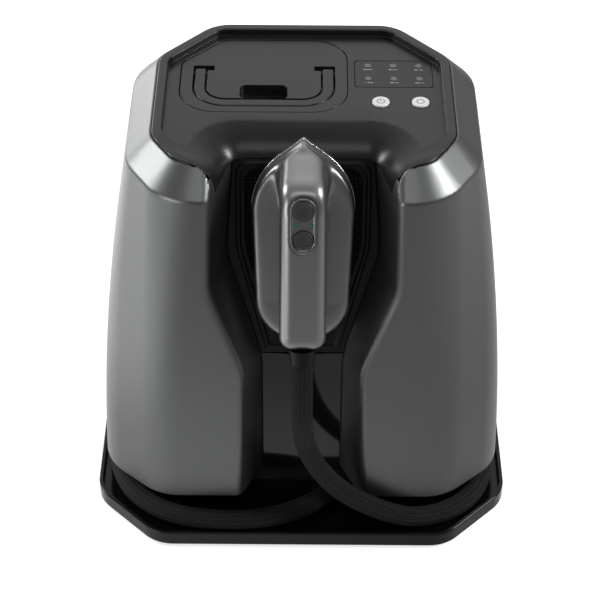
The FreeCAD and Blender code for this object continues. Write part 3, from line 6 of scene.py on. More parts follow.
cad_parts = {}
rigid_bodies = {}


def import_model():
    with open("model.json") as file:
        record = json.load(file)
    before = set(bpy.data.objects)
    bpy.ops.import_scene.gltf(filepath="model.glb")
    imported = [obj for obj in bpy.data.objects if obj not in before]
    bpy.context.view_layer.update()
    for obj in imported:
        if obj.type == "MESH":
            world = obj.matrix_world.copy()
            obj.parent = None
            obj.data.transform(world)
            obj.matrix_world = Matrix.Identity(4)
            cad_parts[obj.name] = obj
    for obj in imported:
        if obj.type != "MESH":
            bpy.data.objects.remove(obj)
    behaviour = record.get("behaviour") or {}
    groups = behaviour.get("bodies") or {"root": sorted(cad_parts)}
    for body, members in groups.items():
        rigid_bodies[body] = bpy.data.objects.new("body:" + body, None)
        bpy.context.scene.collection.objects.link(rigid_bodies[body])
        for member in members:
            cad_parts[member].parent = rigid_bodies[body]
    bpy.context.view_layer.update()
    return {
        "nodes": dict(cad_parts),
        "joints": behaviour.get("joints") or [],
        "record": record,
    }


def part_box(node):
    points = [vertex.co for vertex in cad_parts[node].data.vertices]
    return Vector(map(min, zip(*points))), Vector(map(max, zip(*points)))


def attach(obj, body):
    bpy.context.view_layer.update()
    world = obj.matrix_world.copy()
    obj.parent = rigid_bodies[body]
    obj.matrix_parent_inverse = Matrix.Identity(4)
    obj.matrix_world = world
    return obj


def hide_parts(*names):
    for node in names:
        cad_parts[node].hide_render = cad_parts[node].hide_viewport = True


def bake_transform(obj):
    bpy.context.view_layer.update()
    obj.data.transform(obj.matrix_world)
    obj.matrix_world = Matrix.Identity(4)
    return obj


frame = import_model()
nodes = frame["nodes"]
mm = 0.001
hair = 0.01 * mm  # closer than this counts as the same place
weld = 0.004 * mm  # corners closer than this are merged
print("frame loaded:", len(nodes), "nodes")


# shader maths: a socket that takes Python operators
class Wire:
    def __init__(self, shader, socket):
        self.shader = shader
        self.socket = socket

    def math(self, operation, first, second):
        return self.shader.add("ShaderNodeMath", {"operation": operation}, {0: first, 1: second})

    def __add__(self, other):
        return self.math("ADD", self, other)

    __radd__ = __add__

    def __mul__(self, other):
        return self.math("MULTIPLY", self, other)

    __rmul__ = __mul__

    def __sub__(self, other):
        return self.math("SUBTRACT", self, other)

    def __rsub__(self, other):
        return self.math("SUBTRACT", other, self)

    def __truediv__(self, other):
        return self.math("DIVIDE", self, other)

    def __gt__(self, other):
        return self.math("GREATER_THAN", self, other)

    def __lt__(self, other):
        return self.math("LESS_THAN", self, other)

    def below(self, other):
        return self.math("MINIMUM", self, other)

    def above(self, other):
        return self.math("MAXIMUM", self, other)

    def wave(self):
        return self.math("SINE", self, 0.0)

    def root(self):
        return self.math("SQRT", self, 0.0)

    def within(self, low, high):
        return (self > low) * (self < high)


class Shader:
    def __init__(self, name, world=None):
        self.material = world or bpy.data.materials.new(name)
        self.material.use_nodes = True
        self.tree = self.material.node_tree
        self.surface = self.tree.nodes["Background" if world else "Principled BSDF"]

    def add(self, kind, settings=None, inputs=None, output=0):
        node = self.tree.nodes.new(kind)
        for name, setting in (settings or {}).items():
            setattr(node, name, setting)
        for key, feed in (inputs or {}).items():
            self.feed(node.inputs[key], feed)
        return Wire(self, node.outputs[output])

    def feed(self, socket, value):
        if isinstance(value, Wire):
            self.tree.links.new(value.socket, socket)
        else:
            socket.default_value = value

    def set(self, **values):
        for name, value in values.items():
            self.feed(self.surface.inputs[socketNames[name]], value)

    def place(self):
        return self.add("ShaderNodeTexCoord", output=3)

    def axes(self, vector):
        split = self.add("ShaderNodeSeparateXYZ", None, {0: vector})
        return [Wire(self, output) for output in split.socket.node.outputs]

    def noise(self, scale, detail=3.0, roughness=0.5):
        return self.add("ShaderNodeTexNoise", None,
                        {"Vector": self.place(), "Scale": scale, "Detail": detail, "Roughness": roughness})

    def mix(self, factor, first, second):
        return self.add("ShaderNodeMix", {"data_type": "RGBA"}, {0: factor, 6: first, 7: second}, 2)

    # the bump also carries a small round over sharp edges
    def bump(self, height, strength, distance, edge=0.0):
        inputs = {"Height": height, "Strength": strength, "Distance": distance}
        if edge:
            inputs["Normal"] = self.add("ShaderNodeBevel", {"samples": 4}, {"Radius": edge})
        return self.add("ShaderNodeBump", None, inputs)


socketNames = {
    "colour": "Base Color",
    "rough": "Roughness",
    "metal": "Metallic",
    "coat": "Coat Weight",
    "normal": "Normal",
    "glow": "Emission Color",
    "glowLevel": "Emission Strength",
    "sheen": "Sheen Weight",
    "specular": "Specular IOR Level",
    "sky": "Color",
    "skyLevel": "Strength",
}


def grey(level):
    return (level, level, level, 1.0)


def scaled(colour, factor):
    return tuple(channel * factor for channel in colour[:3]) + (1.0,)


# the depth that a fine bump stands for
bumpReach = 0.2 * mm


# metallic paint: a fine flake that breaks the gloss up a little, and faint broad clouds in the gloss
def metallicPaint(name, colour, metal, rough, flake):
    shader = Shader(name)
    flakes = shader.noise(flake["scale"], 2.0, 0.6)
    clouds = shader.noise(flake["cloudScale"])
    tone = shader.mix(flakes * flake["contrast"], colour, scaled(colour, flake["lift"]))
    spread = (flakes - 0.5) * flake["roughSpread"] + (clouds - 0.5) * flake["cloudSpread"]
    shader.set(colour=tone, metal=metal, rough=spread + rough)
    shader.set(normal=shader.bump(flakes, flake["bump"], bumpReach, flake["edge"]))
    return shader.material


# moulded plastic: fine spark-eroded grain in the bump and the gloss
def mouldedPlastic(name, colour, rough, grain, specular=0.5):
    shader = Shader(name)
    fine = shader.noise(grain["scale"], 2.0, 0.7)
    broad = shader.noise(grain["broadScale"])
    tone = shader.mix(broad, colour, scaled(colour, grain["fade"]))
    shader.set(colour=tone, rough=rough + (fine - 0.5) * grain["roughSpread"], specular=specular)
    shader.set(normal=shader.bump(fine, grain["bump"], bumpReach, grain["edge"]))
    return shader.material


# gloss plastic: nearly a mirror, with faint waviness and dust in the gloss; lean tips the gloss upwards
def glossPlastic(name, colour, rough, coat, specular, lean=0.0):
    shader = Shader(name)
    waves = shader.noise(glossWave["scale"], 1.0)
    dust = shader.noise(glossWave["dustScale"], 2.0)
    tone = shader.mix(dust, colour, scaled(colour, glossWave["dustLift"]))
    shader.set(colour=tone, rough=rough + dust * glossWave["dustRough"], coat=coat, specular=specular)
    height = waves * glossWave["height"]
    if lean:
        height = height - shader.axes(shader.place())[2] * lean
    shader.set(normal=shader.bump(height, 1.0, 1.0, glossWave["edge"]))
    return shader.material


# woven sleeve: two crossing sets of strands on the hose's own map; the colour follows the weave's height,
# with painted shade in the hollows and painted light on the crowns, mixed with random fuzz tone
def braidedCloth(name, braid):
    shader = Shader(name)
    around, along = shader.axes(shader.add("ShaderNodeUVMap", {"uv_map": "braid"}))[:2]
    turns = 2 * math.pi * braid["strands"]
    weave = ((around + along) * turns).wave() * ((around - along) * turns).wave()
    fuzz = shader.noise(braid["fuzzScale"], 4.0, 0.7)
    height = weave * 0.5 + 0.5
    share = height * (1 - braid["fuzzShare"]) + fuzz * braid["fuzzShare"]
    # painted shade and light: the weave's hollows take the darker tone and its crowns the lighter one, with
    # random fuzz mixed in
    tone = shader.mix(share, braid["hollowShade"], braid["light"])
    shader.set(colour=tone, rough=braid["rough"] + (fuzz - 0.5) * braid["roughSpread"])
    shader.set(sheen=braid["sheen"], specular=braid["specular"])
    shader.set(normal=shader.bump(height + fuzz * braid["fuzzHeight"], braid["bump"], braid["depth"]))
    return shader.material


paintFlake = {
    "scale": 2600.0,
    "cloudScale": 9.0,
    "cloudSpread": 0.03,
    "contrast": 0.22,
    "lift": 1.7,
    "roughSpread": 0.06,
    "bump": 0.04,
    "edge": 0.8 * mm,
}
satinGrain = {
    "scale": 1500.0, "broadScale": 20.0, "fade": 0.85, "roughSpread": 0.08, "bump": 0.05, "edge": 0.7 * mm,
}
deckGrain = {**satinGrain, "edge": 1.2 * mm}
glossWave = {
    "scale": 60.0,
    "height": 0.012 * mm,
    "dustScale": 900.0,
    "dustLift": 1.25,
    "dustRough": 0.05,
    "edge": 0.6 * mm,
}
rubberGrain = {
    "scale": 1100.0, "broadScale": 14.0, "fade": 0.8, "roughSpread": 0.10, "bump": 0.18, "edge": 0.4 * mm,
}
hoseBraid = {
    "strands": 18,
    "fuzzScale": 900.0,
    "fuzzShare": 0.3,
    "fuzzHeight": 0.4,
    "roughSpread": 0.2,
    # painted shade in the weave's hollows, and the lighter tone painted on its crowns
    "hollowShade": grey(0.001),
    "light": grey(0.008),
    "rough": 0.6,
    "sheen": 0.03,
    "specular": 0.14,
    "bump": 0.8,
    "depth": 0.6 * mm,
}

finishes = {
    "shell_grey": metallicPaint("shellPaint", (0.1, 0.104, 0.102, 1.0), 0.87, 0.37, paintFlake),
    "handset_silver": metallicPaint("handsetPaint", (0.19, 0.195, 0.19, 1.0), 0.92, 0.34, paintFlake),
    "bezel_silver": metallicPaint("bezelPaint", (0.16, 0.165, 0.16, 1.0), 0.92, 0.28, paintFlake),
    "deck_black": mouldedPlastic("deckPlastic", grey(0.007), 0.30, deckGrain, 0.32),
    "lid_black": mouldedPlastic("lidPlastic", grey(0.008), 0.31, satinGrain, 0.32),
    "handle_black": mouldedPlastic("bailPlastic", grey(0.007), 0.28, satinGrain, 0.32),
    "dock_black": mouldedPlastic("dockPlastic", grey(0.0015), 0.33, deckGrain, 0.22),
    "gland_black": mouldedPlastic("glandPlastic", grey(0.003), 0.42, satinGrain, 0.14),
    "chassis_black": mouldedPlastic("chassisPlastic", grey(0.012), 0.45, satinGrain),
    "well_black": mouldedPlastic("wellPlastic", grey(0.02), 0.5, satinGrain),
    "insulator_black": mouldedPlastic("insulatorPlastic", grey(0.012), 0.5, satinGrain),
    "switch_black": mouldedPlastic("switchPlastic", grey(0.025), 0.45, satinGrain),
    "board_green": mouldedPlastic("boardLacquer", (0.02, 0.12, 0.05, 1.0), 0.35, satinGrain),
    "valve_white": mouldedPlastic("valvePlastic", grey(0.7), 0.4, satinGrain),
    "tank_smoke": mouldedPlastic("tankPlastic", (0.07, 0.075, 0.08, 1.0), 0.16, satinGrain),
    "tube_white": mouldedPlastic("tubeRubber", grey(0.6), 0.45, rubberGrain),
    "foot_rubber": mouldedPlastic("footRubber", grey(0.025), 0.7, rubberGrain),
    "pad_black": mouldedPlastic("padRubber", grey(0.0015), 0.55, rubberGrain, 0.06),
    "inlet_rubber": mouldedPlastic("inletRubber", grey(0.022), 0.6, rubberGrain),
    "seal_red": mouldedPlastic("sealRubber", (0.3, 0.04, 0.03, 1.0), 0.5, rubberGrain),
    "button_black": mouldedPlastic("buttonPlastic", grey(0.022), 0.42, rubberGrain),
    "key_white": mouldedPlastic("keyPlastic", grey(0.68), 0.3, satinGrain),
    "tray_black": glossPlastic("trayGloss", grey(0.002), 0.1, 0.0, 0.18),
    "panel_black": glossPlastic("panelGloss", grey(0.004), 0.07, 0.0, 0.38, 0.18),
    "display_black": glossPlastic("displayGloss", grey(0.008), 0.24, 0.0, 0.35),
    "lens_grey": glossPlastic("lensGloss", grey(0.06), 0.3, 0.1, 0.4),
    "light_green": glossPlastic("lightGloss", (0.008, 0.1, 0.05, 1.0), 0.12, 0.3, 0.5),
    "steel": metallicPaint("steelFinish", grey(0.45), 1.0, 0.32, paintFlake),
    "boiler_metal": metallicPaint("boilerFinish", grey(0.5), 1.0, 0.42, paintFlake),
    "sole_metal": metallicPaint("soleFinish", grey(0.8), 1.0, 0.25, paintFlake),
    "brass": metallicPaint("brassFinish", (0.6, 0.42, 0.16, 1.0), 1.0, 0.3, paintFlake),
    "hose_textile": braidedCloth("hoseCloth", hoseBraid),
}

for part in frame["record"]["subparts"]:
    mesh = nodes[part["node"]].data
    mesh.materials.clear()
    mesh.materials.append(finishes[part["material_slot"]])
nodes["handle_pins"].data.materials[0] = finishes["handle_black"]
print("finishes set")

# camera at the photograph's angle
view = {
    "across": -2.0 * mm,
    "elevation": 40.0,
    "distance": 1551.0 * mm,
    "targetHeight": 128.6 * mm,
    "lens": 114.0,
    "sensor": 36.0,
    "roll": 0.4,
}


def addCamera():
    lens = bpy.data.cameras.new("camera")
    lens.lens = view["lens"]
    lens.sensor_width = view["sensor"]
    camera = bpy.data.objects.new("camera", lens)
    bpy.context.scene.collection.objects.link(camera)
    tilt = math.radians(view["elevation"])
    camera.location = (
        view["across"],
        -view["distance"] * math.cos(tilt),
        view["targetHeight"] + view["distance"] * math.sin(tilt),
    )
    aim = Matrix.Rotation(math.pi / 2 - tilt, 3, "X") @ Matrix.Rotation(math.radians(view["roll"]), 3, "Z")
    camera.rotation_euler = aim.to_euler()
    bpy.context.scene.camera = camera


addCamera()
print("camera set")


# the record says which body a node rides on and which finish it has
bodyOf = {node: body for body, members in frame["record"]["behaviour"]["bodies"].items() for node in members}
slotOf = {part["node"]: part["material_slot"] for part in frame["record"]["subparts"]}

# the dock's own directions: out of it is the way that the handset lifts
lift = next(joint for joint in frame["joints"] if joint["name"] == "handset_lift")
outward = Vector(lift["axis"])
upward = Vector((0.0, outward.z, -outward.y))
dockTurn = Matrix((Vector((1.0, 0.0, 0.0)), upward, outward)).transposed()


def dockSpan(name):
    turned = [dockTurn.transposed() @ vertex.co for vertex in nodes[name].data.vertices]
    low = Vector(min(point[axis] for point in turned) for axis in range(3))
    high = Vector(max(point[axis] for point in turned) for axis in range(3))
    return low, high


def onlyPiece(piece):
    bpy.ops.object.select_all(action="DESELECT")
    piece.select_set(True)
    bpy.context.view_layer.objects.active = piece


def editAll(piece):
    onlyPiece(piece)
    bpy.ops.object.mode_set(mode="EDIT")
    bpy.ops.mesh.select_all(action="SELECT")


def objectMode():
    bpy.ops.object.mode_set(mode="OBJECT")


# picks vertices, edges or faces by a test on their place and normal, in edit mode
def pick(piece, kind, test):
    bpy.ops.mesh.select_mode(type=kind)
    bpy.ops.mesh.select_all(action="DESELECT")
    objectMode()
    mesh = piece.data
    parts = {"VERT": mesh.vertices, "EDGE": mesh.edges, "FACE": mesh.polygons}[kind]
    for part in parts:
        part.select = bool(test(part))
    bpy.ops.object.mode_set(mode="EDIT")


def applyModifier(piece, kind, **settings):
    modifier = piece.modifiers.new(kind.lower(), kind)
    for name, setting in settings.items():
        setattr(modifier, name, setting)
    onlyPiece(piece)
    bpy.ops.object.modifier_apply(modifier=modifier.name)


def softenEdges(piece, width, segments=3, angle=35.0):
    applyModifier(piece, "BEVEL", width=width, segments=segments, limit_method="ANGLE",
                  angle_limit=math.radians(angle), harden_normals=False)


def smoothPiece(piece, angle):
    onlyPiece(piece)
    bpy.ops.object.shade_smooth_by_angle(angle=math.radians(angle))
    applyModifier(piece, "WEIGHTED_NORMAL", keep_sharp=True, weight=60)


# the piece's place is put into its mesh, as in the frame's own nodes
def settle(piece, place=Vector((0.0, 0.0, 0.0)), turn=Matrix.Identity(3)):
    piece.matrix_world = Matrix.Translation(place) @ turn.to_4x4()
    onlyPiece(piece)
    bpy.ops.object.transform_apply(location=True, rotation=True, scale=True)


def dress(piece, node, replaced=()):
    piece.data.materials.clear()
    piece.data.materials.append(finishes[slotOf[node]])
    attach(piece, bodyOf[node])
    if replaced:
        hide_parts(*replaced)


def named(name):
    piece = bpy.context.object
    piece.name = name
    piece.data.name = name
    return piece


def startCircle(name, radius, vertices):
    bpy.ops.object.select_all(action="DESELECT")
    bpy.ops.mesh.primitive_circle_add(vertices=vertices, radius=radius, fill_type="NGON")
    return named(name)


def raiseFace(height):
    bpy.ops.mesh.extrude_region_move(TRANSFORM_OT_translate={"value": (0.0, 0.0, height)})


def stepIn(width, height):
    bpy.ops.mesh.inset(thickness=width)
    bpy.ops.transform.translate(value=(0.0, 0.0, height))


def cutWith(piece, cutter):
    applyModifier(piece, "BOOLEAN", operation="DIFFERENCE", object=cutter, solver="EXACT")
    bpy.data.objects.remove(cutter)


def joinAll(first, others):
    onlyPiece(first)
    for other in others:
        other.select_set(True)
    bpy.ops.object.join()


def copyOf(piece, name):
    twin = bpy.data.objects.new(name, piece.data.copy())
    bpy.context.scene.collection.objects.link(twin)
    return twin


# a merged copy of a frame node's mesh, ready to be smoothed or shaped
def nodeCopy(node, name):
    piece = copyOf(nodes[node], name)
    editAll(piece)
    bpy.ops.mesh.remove_doubles(threshold=weld)
    bpy.ops.mesh.customdata_custom_splitnormals_clear()
    objectMode()
    return piece


# steam hose: out of the handset's collar, down, once round the foot and into the gland
hose = {
    "radius": 8.0 * mm,
    "ribs": 20,
    "ribHeight": 0.5 * mm,
    "ribSteps": 6,
    "curveSteps": 14,
    "smoothAngle": 60.0,
    "length": 1.22,
    "drop": [
        (0.0, -140.908, 186.463), (0.0, -151.382, 149.935), (0.5, -146.0, 118.0), (5.0, -140.5, 93.0),
        (15.5, -138.5, 69.0), (32.0, -138.3, 48.0), (54.0, -138.6, 32.5), (78.0, -138.0, 20.5),
    ],
    "wrap": [
        (98.0, -135.8), (123.2, -126.1), (143.0, -104.0), (149.3, -75.0),
        (151.4, -38.0), (151.9, 6.0), (151.2, 48.0), (149.3, 77.0), (143.0, 106.0),
        (123.2, 128.1), (95.0, 137.5), (52.0, 139.3), (0.0, 139.8), (-52.0, 139.3),
        (-95.0, 137.5), (-123.2, 128.1), (-143.0, 106.0), (-149.3, 77.0), (-151.2, 46.0),
        (-151.9, 0.0), (-151.4, -40.0), (-150.0, -76.0), (-138.0, -107.5), (-112.5, -130.5),
        (-79.0, -140.3), (-36.0, -140.8), (-4.0, -130.0), (20.0, -112.0), (31.8, -95.8),
    ],
    "wrapHeight": 17.0,
    "bendStart": (0.0, -0.14, 0.03),
    "bendEnd": (0.0, -0.14, 0.1865),
}


def hoseLine():
    route = [Vector(point) * mm for point in hose["drop"]]
    route += [Vector((x, y, hose["wrapHeight"])) * mm for x, y in hose["wrap"]]
    curve = bpy.data.curves.new("hoseRoute", "CURVE")
    curve.dimensions = "3D"
    spline = curve.splines.new("NURBS")
    spline.points.add(len(route) - 1)
    for point, place in zip(spline.points, route):
        point.co = (*place, 1.0)
    spline.order_u = 3
    spline.use_endpoint_u = True
    spline.resolution_u = hose["curveSteps"]
    holder = bpy.data.objects.new("hoseRoute", curve)
    bpy.context.scene.collection.objects.link(holder)
    bpy.context.view_layer.update()
    line = bpy.data.meshes.new_from_object(holder.evaluated_get(bpy.context.evaluated_depsgraph_get()))
    points = [vertex.co.copy() for vertex in line.vertices]
    bpy.data.objects.remove(holder)
    return points


# rings of corners square to the route, with ribs along it, and the run up to each ring in girths
def hoseRings(points):
    around = hose["ribs"] * hose["ribSteps"]
    ahead = (points[1] - points[0]).normalized()
    side = ahead.orthogonal().normalized()
    corners, rounds = [], []
    run = 0.0
    for index, point in enumerate(points):
        before = points[max(index - 1, 0)]
        after = points[min(index + 1, len(points) - 1)]
        along = (after - before).normalized()
        side = (ahead.rotation_difference(along) @ side).normalized()
        ahead = along
        over = along.cross(side)
        run += (point - before).length
        rounds.append(run / (2 * math.pi * hose["radius"]))
        for step in range(around):
            angle = 2 * math.pi * step / around
            rib = abs(math.sin(angle * hose["ribs"] / 2)) - 1
            reach = hose["radius"] + hose["ribHeight"] * rib
            corners.append(point + reach * (math.cos(angle) * side + math.sin(angle) * over))
    return corners, rounds


# the skin's faces, and their places on the braid's map
def hoseSkin(rounds):
    around = hose["ribs"] * hose["ribSteps"]
    last = len(rounds) - 1
    faces, maps = [], []
    for ring in range(last):
        for step in range(around):
            nextStep = (step + 1) % around
            faces.append((ring * around + step, ring * around + nextStep,
                          (ring + 1) * around + nextStep, (ring + 1) * around + step))
            left, right = step / around, (step + 1) / around
            maps += [(left, rounds[ring]), (right, rounds[ring]),
                     (right, rounds[ring + 1]), (left, rounds[ring + 1])]
    faces.append(tuple(reversed(range(around))))
    faces.append(tuple(range(last * around, (last + 1) * around)))
    maps += [(0.5, 0.0)] * around + [(0.5, rounds[-1])] * around
    return faces, maps


def addHose():
    points = hoseLine()
    corners, rounds = hoseRings(points)
    faces, maps = hoseSkin(rounds)
    mesh = bpy.data.meshes.new("steamHose")
    mesh.from_pydata(corners, [], faces)
    layer = mesh.uv_layers.new(name="braid")
    for loop, place in zip(layer.data, maps):
        loop.uv = place
    piece = bpy.data.objects.new("steamHose", mesh)
    bpy.context.scene.collection.objects.link(piece)
    onlyPiece(piece)
    bpy.ops.object.shade_smooth_by_angle(angle=math.radians(hose["smoothAngle"]))
    dress(piece, "hose_wrap", ("hose_drop", "hose_wrap"))
    piece.parent = None  # the parent is dropped before its place is put into the mesh
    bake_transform(piece)
    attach(piece, "station")


addHose()
print("hose laid")

# mouldings that keep the frame's shape: smooth shading over the round stretches only
mouldings = {
    "leftShell": ("left_side_shell", 26.0),
    "rightShell": ("right_side_shell", 26.0),
    "rearCover": ("rear_cover", 26.0),
    "topDeck": ("top_deck", 26.0),
    "tankLid": ("tank_lid", 26.0),
    "tankBail": ("tank_handle", 26.0),
    "tankBody": ("tank_body", 26.0),
    "baseTray": ("base_tray", 20.0),
    "plinth": ("base_chassis", 20.0),
    "dockPad": ("dock_pad", 30.0),
    "hoseGland": ("hose_gland", 30.0),
    "hoseCollar": ("hose_collar", 30.0),
    "mainsBush": ("mains_inlet", 30.0),
    "statusLenses": ("indicator_lenses", 30.0),
    "soleInsulator": ("sole_insulator", 26.0),
    "rubberFeet": ("rubber_feet", 30.0),
}


def addMouldings():
    for name, (node, angle) in mouldings.items():
        piece = nodeCopy(node, name)
        smoothPiece(piece, angle)
        dress(piece, node, (node,))


addMouldings()
print("mouldings smoothed")

# front panels: the same plates with their edges rolled over
frontPanels = {
    "dockPanel": {"node": "dock_panel", "edge": 1.1 * mm},
    "lowerPanel": {"node": "lower_front_panel", "edge": 0.8 * mm},
}
panelAngles = {"flat": 1.0, "bevel": 50.0, "smooth": 32.0}


def addFrontPanel(name):
    node = frontPanels[name]["node"]
    piece = nodeCopy(node, name)
    editAll(piece)
    bpy.ops.mesh.dissolve_limited(angle_limit=math.radians(panelAngles["flat"]))
    objectMode()
    softenEdges(piece, frontPanels[name]["edge"], 3, panelAngles["bevel"])
    smoothPiece(piece, panelAngles["smooth"])
    dress(piece, node, (node,))


for panelName in frontPanels:
    addFrontPanel(panelName)

# a grip dot is modelled once, and its copies are spread; its heights are shares of its radius
dotShape = {"corners": 10, "rise": 0.45, "crownInset": 0.4, "crownRise": 0.22}


def gripDot(radius):
    dot = startCircle("gripDot", radius, dotShape["corners"])
    editAll(dot)
    raiseFace(radius * dotShape["rise"])
    stepIn(radius * dotShape["crownInset"], radius * dotShape["crownRise"])
    objectMode()
    return dot


def spreadCopies(dot, places, turn=Matrix.Identity(3)):
    twins = []
    for place in places:
        twins.append(copyOf(dot, "gripDot"))
        settle(twins[-1], place, turn)
    bpy.data.objects.remove(dot)
    return twins


# grip dots on the dock near its two upper corners
dockDots = {
    "columns": 4,
    "rows": 3,
    "pitch": 3.0 * mm,
    "radius": 0.55 * mm,
    "across": 36.0 * mm,
    "down": 14.5 * mm,
}


def addDockDots():
    top = dockSpan("dock_panel")[1].y - dockDots["down"]
    face = dockSpan("dock_pad")[1].z
    places = []
    for side in (1.0, -1.0):
        for column in range(dockDots["columns"]):
            for row in range(dockDots["rows"]):
                across = side * (dockDots["across"] + column * dockDots["pitch"])
                places.append(dockTurn @ Vector((across, top - row * dockDots["pitch"], face)))
    dots = spreadCopies(gripDot(dockDots["radius"]), places, dockTurn)
    joinAll(dots[0], dots[1:])
    piece = named("dockDots")
    dress(piece, "dock_panel")
    piece.data.materials[0] = finishes["deck_black"]


addDockDots()
print("dock panels set")

# handset: head and grip flow into each other in one skin
handset = {
    "voxel": 0.9 * mm,
    "overlap": 3.0 * mm,
    "crownSwell": 0.11,
    "tipSwell": 0.6,
    "crownSag": 3.2 * mm,
    "evenRounds": 9,
    "creaseRounds": 12,
    "creaseReach": 4.0 * mm,
    "noseRounds": 260,
    "noseStart": 34.0 * mm,
    "noseFull": 16.0 * mm,
    "noseDepth": 6.0 * mm,
    "endRounds": 24,
    "endStart": 14.0 * mm,
    "smoothing": 0.5,
}


# how far a number has gone from start to full, eased at both ends
def eased(number, start, full):
    share = min(max((number - start) / (full - start), 0.0), 1.0)
    return share * share * (3 - 2 * share)


def smoothWhere(piece, rounds, weight):
    group = piece.vertex_groups.new(name="soft")
    for vertex in piece.data.vertices:
        group.add([vertex.index], weight(vertex.co), "REPLACE")
    applyModifier(piece, "SMOOTH", factor=handset["smoothing"], iterations=rounds, vertex_group="soft")
    piece.vertex_groups.clear()


# the head with a fuller crown, which sags to its sides
def handsetHead():
    low, high = dockSpan("head_cover")
    middle = (low + high) / 2
    body = nodeCopy("head_cover", "handsetBody")
    for vertex in body.data.vertices:
        place = dockTurn.transposed() @ vertex.co - middle
        share = eased(place.z, 0.0, high.z - middle.z)
        swell = handset["crownSwell"] * share
        longer = swell * handset["tipSwell"] if place.y > 0 else 0.0
        drop = handset["crownSag"] * (place.x / high.x) ** 2 * share
        place = Vector((place.x * (1 + swell), place.y * (1 + longer), place.z - drop))
        vertex.co = dockTurn @ (place + middle)
    return body


# the grip, sunk a little into the head so that the two skins meet
def handsetGrip():
    face = dockSpan("head_cover")[1].z
    grip = nodeCopy("handle_grip", "handsetGrip")
    editAll(grip)
    pick(grip, "VERT", lambda vertex: abs(outward.dot(vertex.co) - face) < hair)
    bpy.ops.transform.translate(value=-outward * handset["overlap"])
    objectMode()
    return grip


def addHandset():
    face = dockSpan("head_cover")[1].z
    gripLow, gripHigh = dockSpan("handle_grip")
    grip = handsetGrip()
    body = handsetHead()
    joinAll(body, [grip])
    body.data.remesh_voxel_size = handset["voxel"]
    body.data.remesh_voxel_adaptivity = 0.0
    bpy.ops.object.voxel_remesh()
    applyModifier(body, "SMOOTH", factor=handset["smoothing"], iterations=handset["evenRounds"])

    def crease(place):
        return math.exp(-((outward.dot(place) - face) / handset["creaseReach"]) ** 2)

    def nose(place):
        above = eased(outward.dot(place), face - handset["noseDepth"], face)
        start, full = gripHigh.y - handset["noseStart"], gripHigh.y - handset["noseFull"]
        return above * eased(upward.dot(place), start, full)

    def end(place):
        return eased(upward.dot(place), gripLow.y + handset["endStart"], gripLow.y)

    smoothWhere(body, handset["creaseRounds"], crease)
    smoothWhere(body, handset["noseRounds"], nose)
    smoothWhere(body, handset["endRounds"], end)
    onlyPiece(body)
    bpy.ops.object.shade_smooth()
    dress(body, "head_cover", ("head_cover", "handle_grip"))
    print("handset body:", len(body.data.polygons), "faces")


addHandset()
print("handset flowed")

# soleplate: reaches the cover's rim, so its bright edge shows round the tip
sole = {"edge": 0.8 * mm, "flatAngle": 0.5, "bevelAngle": 60.0, "smoothAngle": 30.0}


def addSole():
    low, high = dockSpan("soleplate")
    rimLow, rimHigh = dockSpan("head_cover")
    piece = nodeCopy("soleplate", "solePlate")
    settle(piece, turn=dockTurn.transposed())
    editAll(piece)
    bpy.ops.mesh.dissolve_limited(angle_limit=math.radians(sole["flatAngle"]))
    spread = [(rimHigh[axis] - rimLow[axis]) / (high[axis] - low[axis]) for axis in range(2)]
    bpy.ops.mesh.select_all(action="SELECT")
    bpy.ops.transform.resize(value=(*spread, 1.0), center_override=(low + high) / 2)
    shift = (rimLow + rimHigh - low - high) / 2
    bpy.ops.transform.translate(value=(shift.x, shift.y, 0.0))
    objectMode()
    softenEdges(piece, sole["edge"], 3, sole["bevelAngle"])
    settle(piece, turn=dockTurn)
    smoothPiece(piece, sole["smoothAngle"])
    dress(piece, "soleplate", ("soleplate",))


addSole()

# button bezel: a long oval with a raised rim
bezel = {
    "corners": 64,
    "rimWidth": 1.7 * mm,
    "rimSlope": 0.4 * mm,
    "floorDrop": 0.8 * mm,
    "rise": 0.75 * mm,
    "edge": 0.55 * mm,
    "buttonGap": 0.3 * mm,
    "cutCorners": 48,
    "cutDepth": 20.0 * mm,
    "smoothAngle": 30.0,
}


def buttonCutter(node):
    low, high = dockSpan(node)
    cutter = startCircle("buttonCutter", (high.x - low.x) / 2 + bezel["buttonGap"], bezel["cutCorners"])
    editAll(cutter)
    raiseFace(bezel["cutDepth"])
    objectMode()
    foot = high.z - bezel["cutDepth"] / 2
    settle(cutter, dockTurn @ Vector((0.0, (low.y + high.y) / 2, foot)), dockTurn)
    return cutter


def addBezel():
    low, high = dockSpan("button_bezel")
    half = (high.x - low.x) / 2
    reach = (high.y - low.y) / 2 - half
    piece = startCircle("buttonBezel", half, bezel["corners"])
    editAll(piece)
    for side in (1.0, -1.0):
        pick(piece, "VERT", lambda vertex: vertex.co.y * side > hair)
        bpy.ops.transform.translate(value=(0.0, reach * side, 0.0))
    bpy.ops.mesh.select_all(action="SELECT")
    raiseFace(high.z - low.z + bezel["rise"])
    stepIn(bezel["rimWidth"], 0.0)
    stepIn(bezel["rimSlope"], -bezel["floorDrop"])
    objectMode()
    softenEdges(piece, bezel["edge"])
    settle(piece, dockTurn @ Vector((0.0, (low.y + high.y) / 2, low.z)), dockTurn)
    for node in ("steam_button", "lock_button"):
        cutWith(piece, buttonCutter(node))
    smoothPiece(piece, bezel["smoothAngle"])
    dress(piece, "button_bezel", ("button_bezel",))


addBezel()

# two thumb buttons: a rolled edge and a dished face, the upper one with a ring of grip dots
buttons = {
    "steamButton": {"node": "steam_button", "dots": 30},
    "lockButton": {"node": "lock_button", "dots": 0},
    "corners": 64,
    "edge": 0.5 * mm,
    "steps": ((0.34, 0.0), (0.16, 0.36), (0.2, 0.24)),  # width in radii and depth in mm, from the rim inwards
    "dotRadius": 0.42 * mm,
    "dotRing": 0.76,
    "dotSink": 0.1 * mm,
    "smoothAngle": 30.0,
}


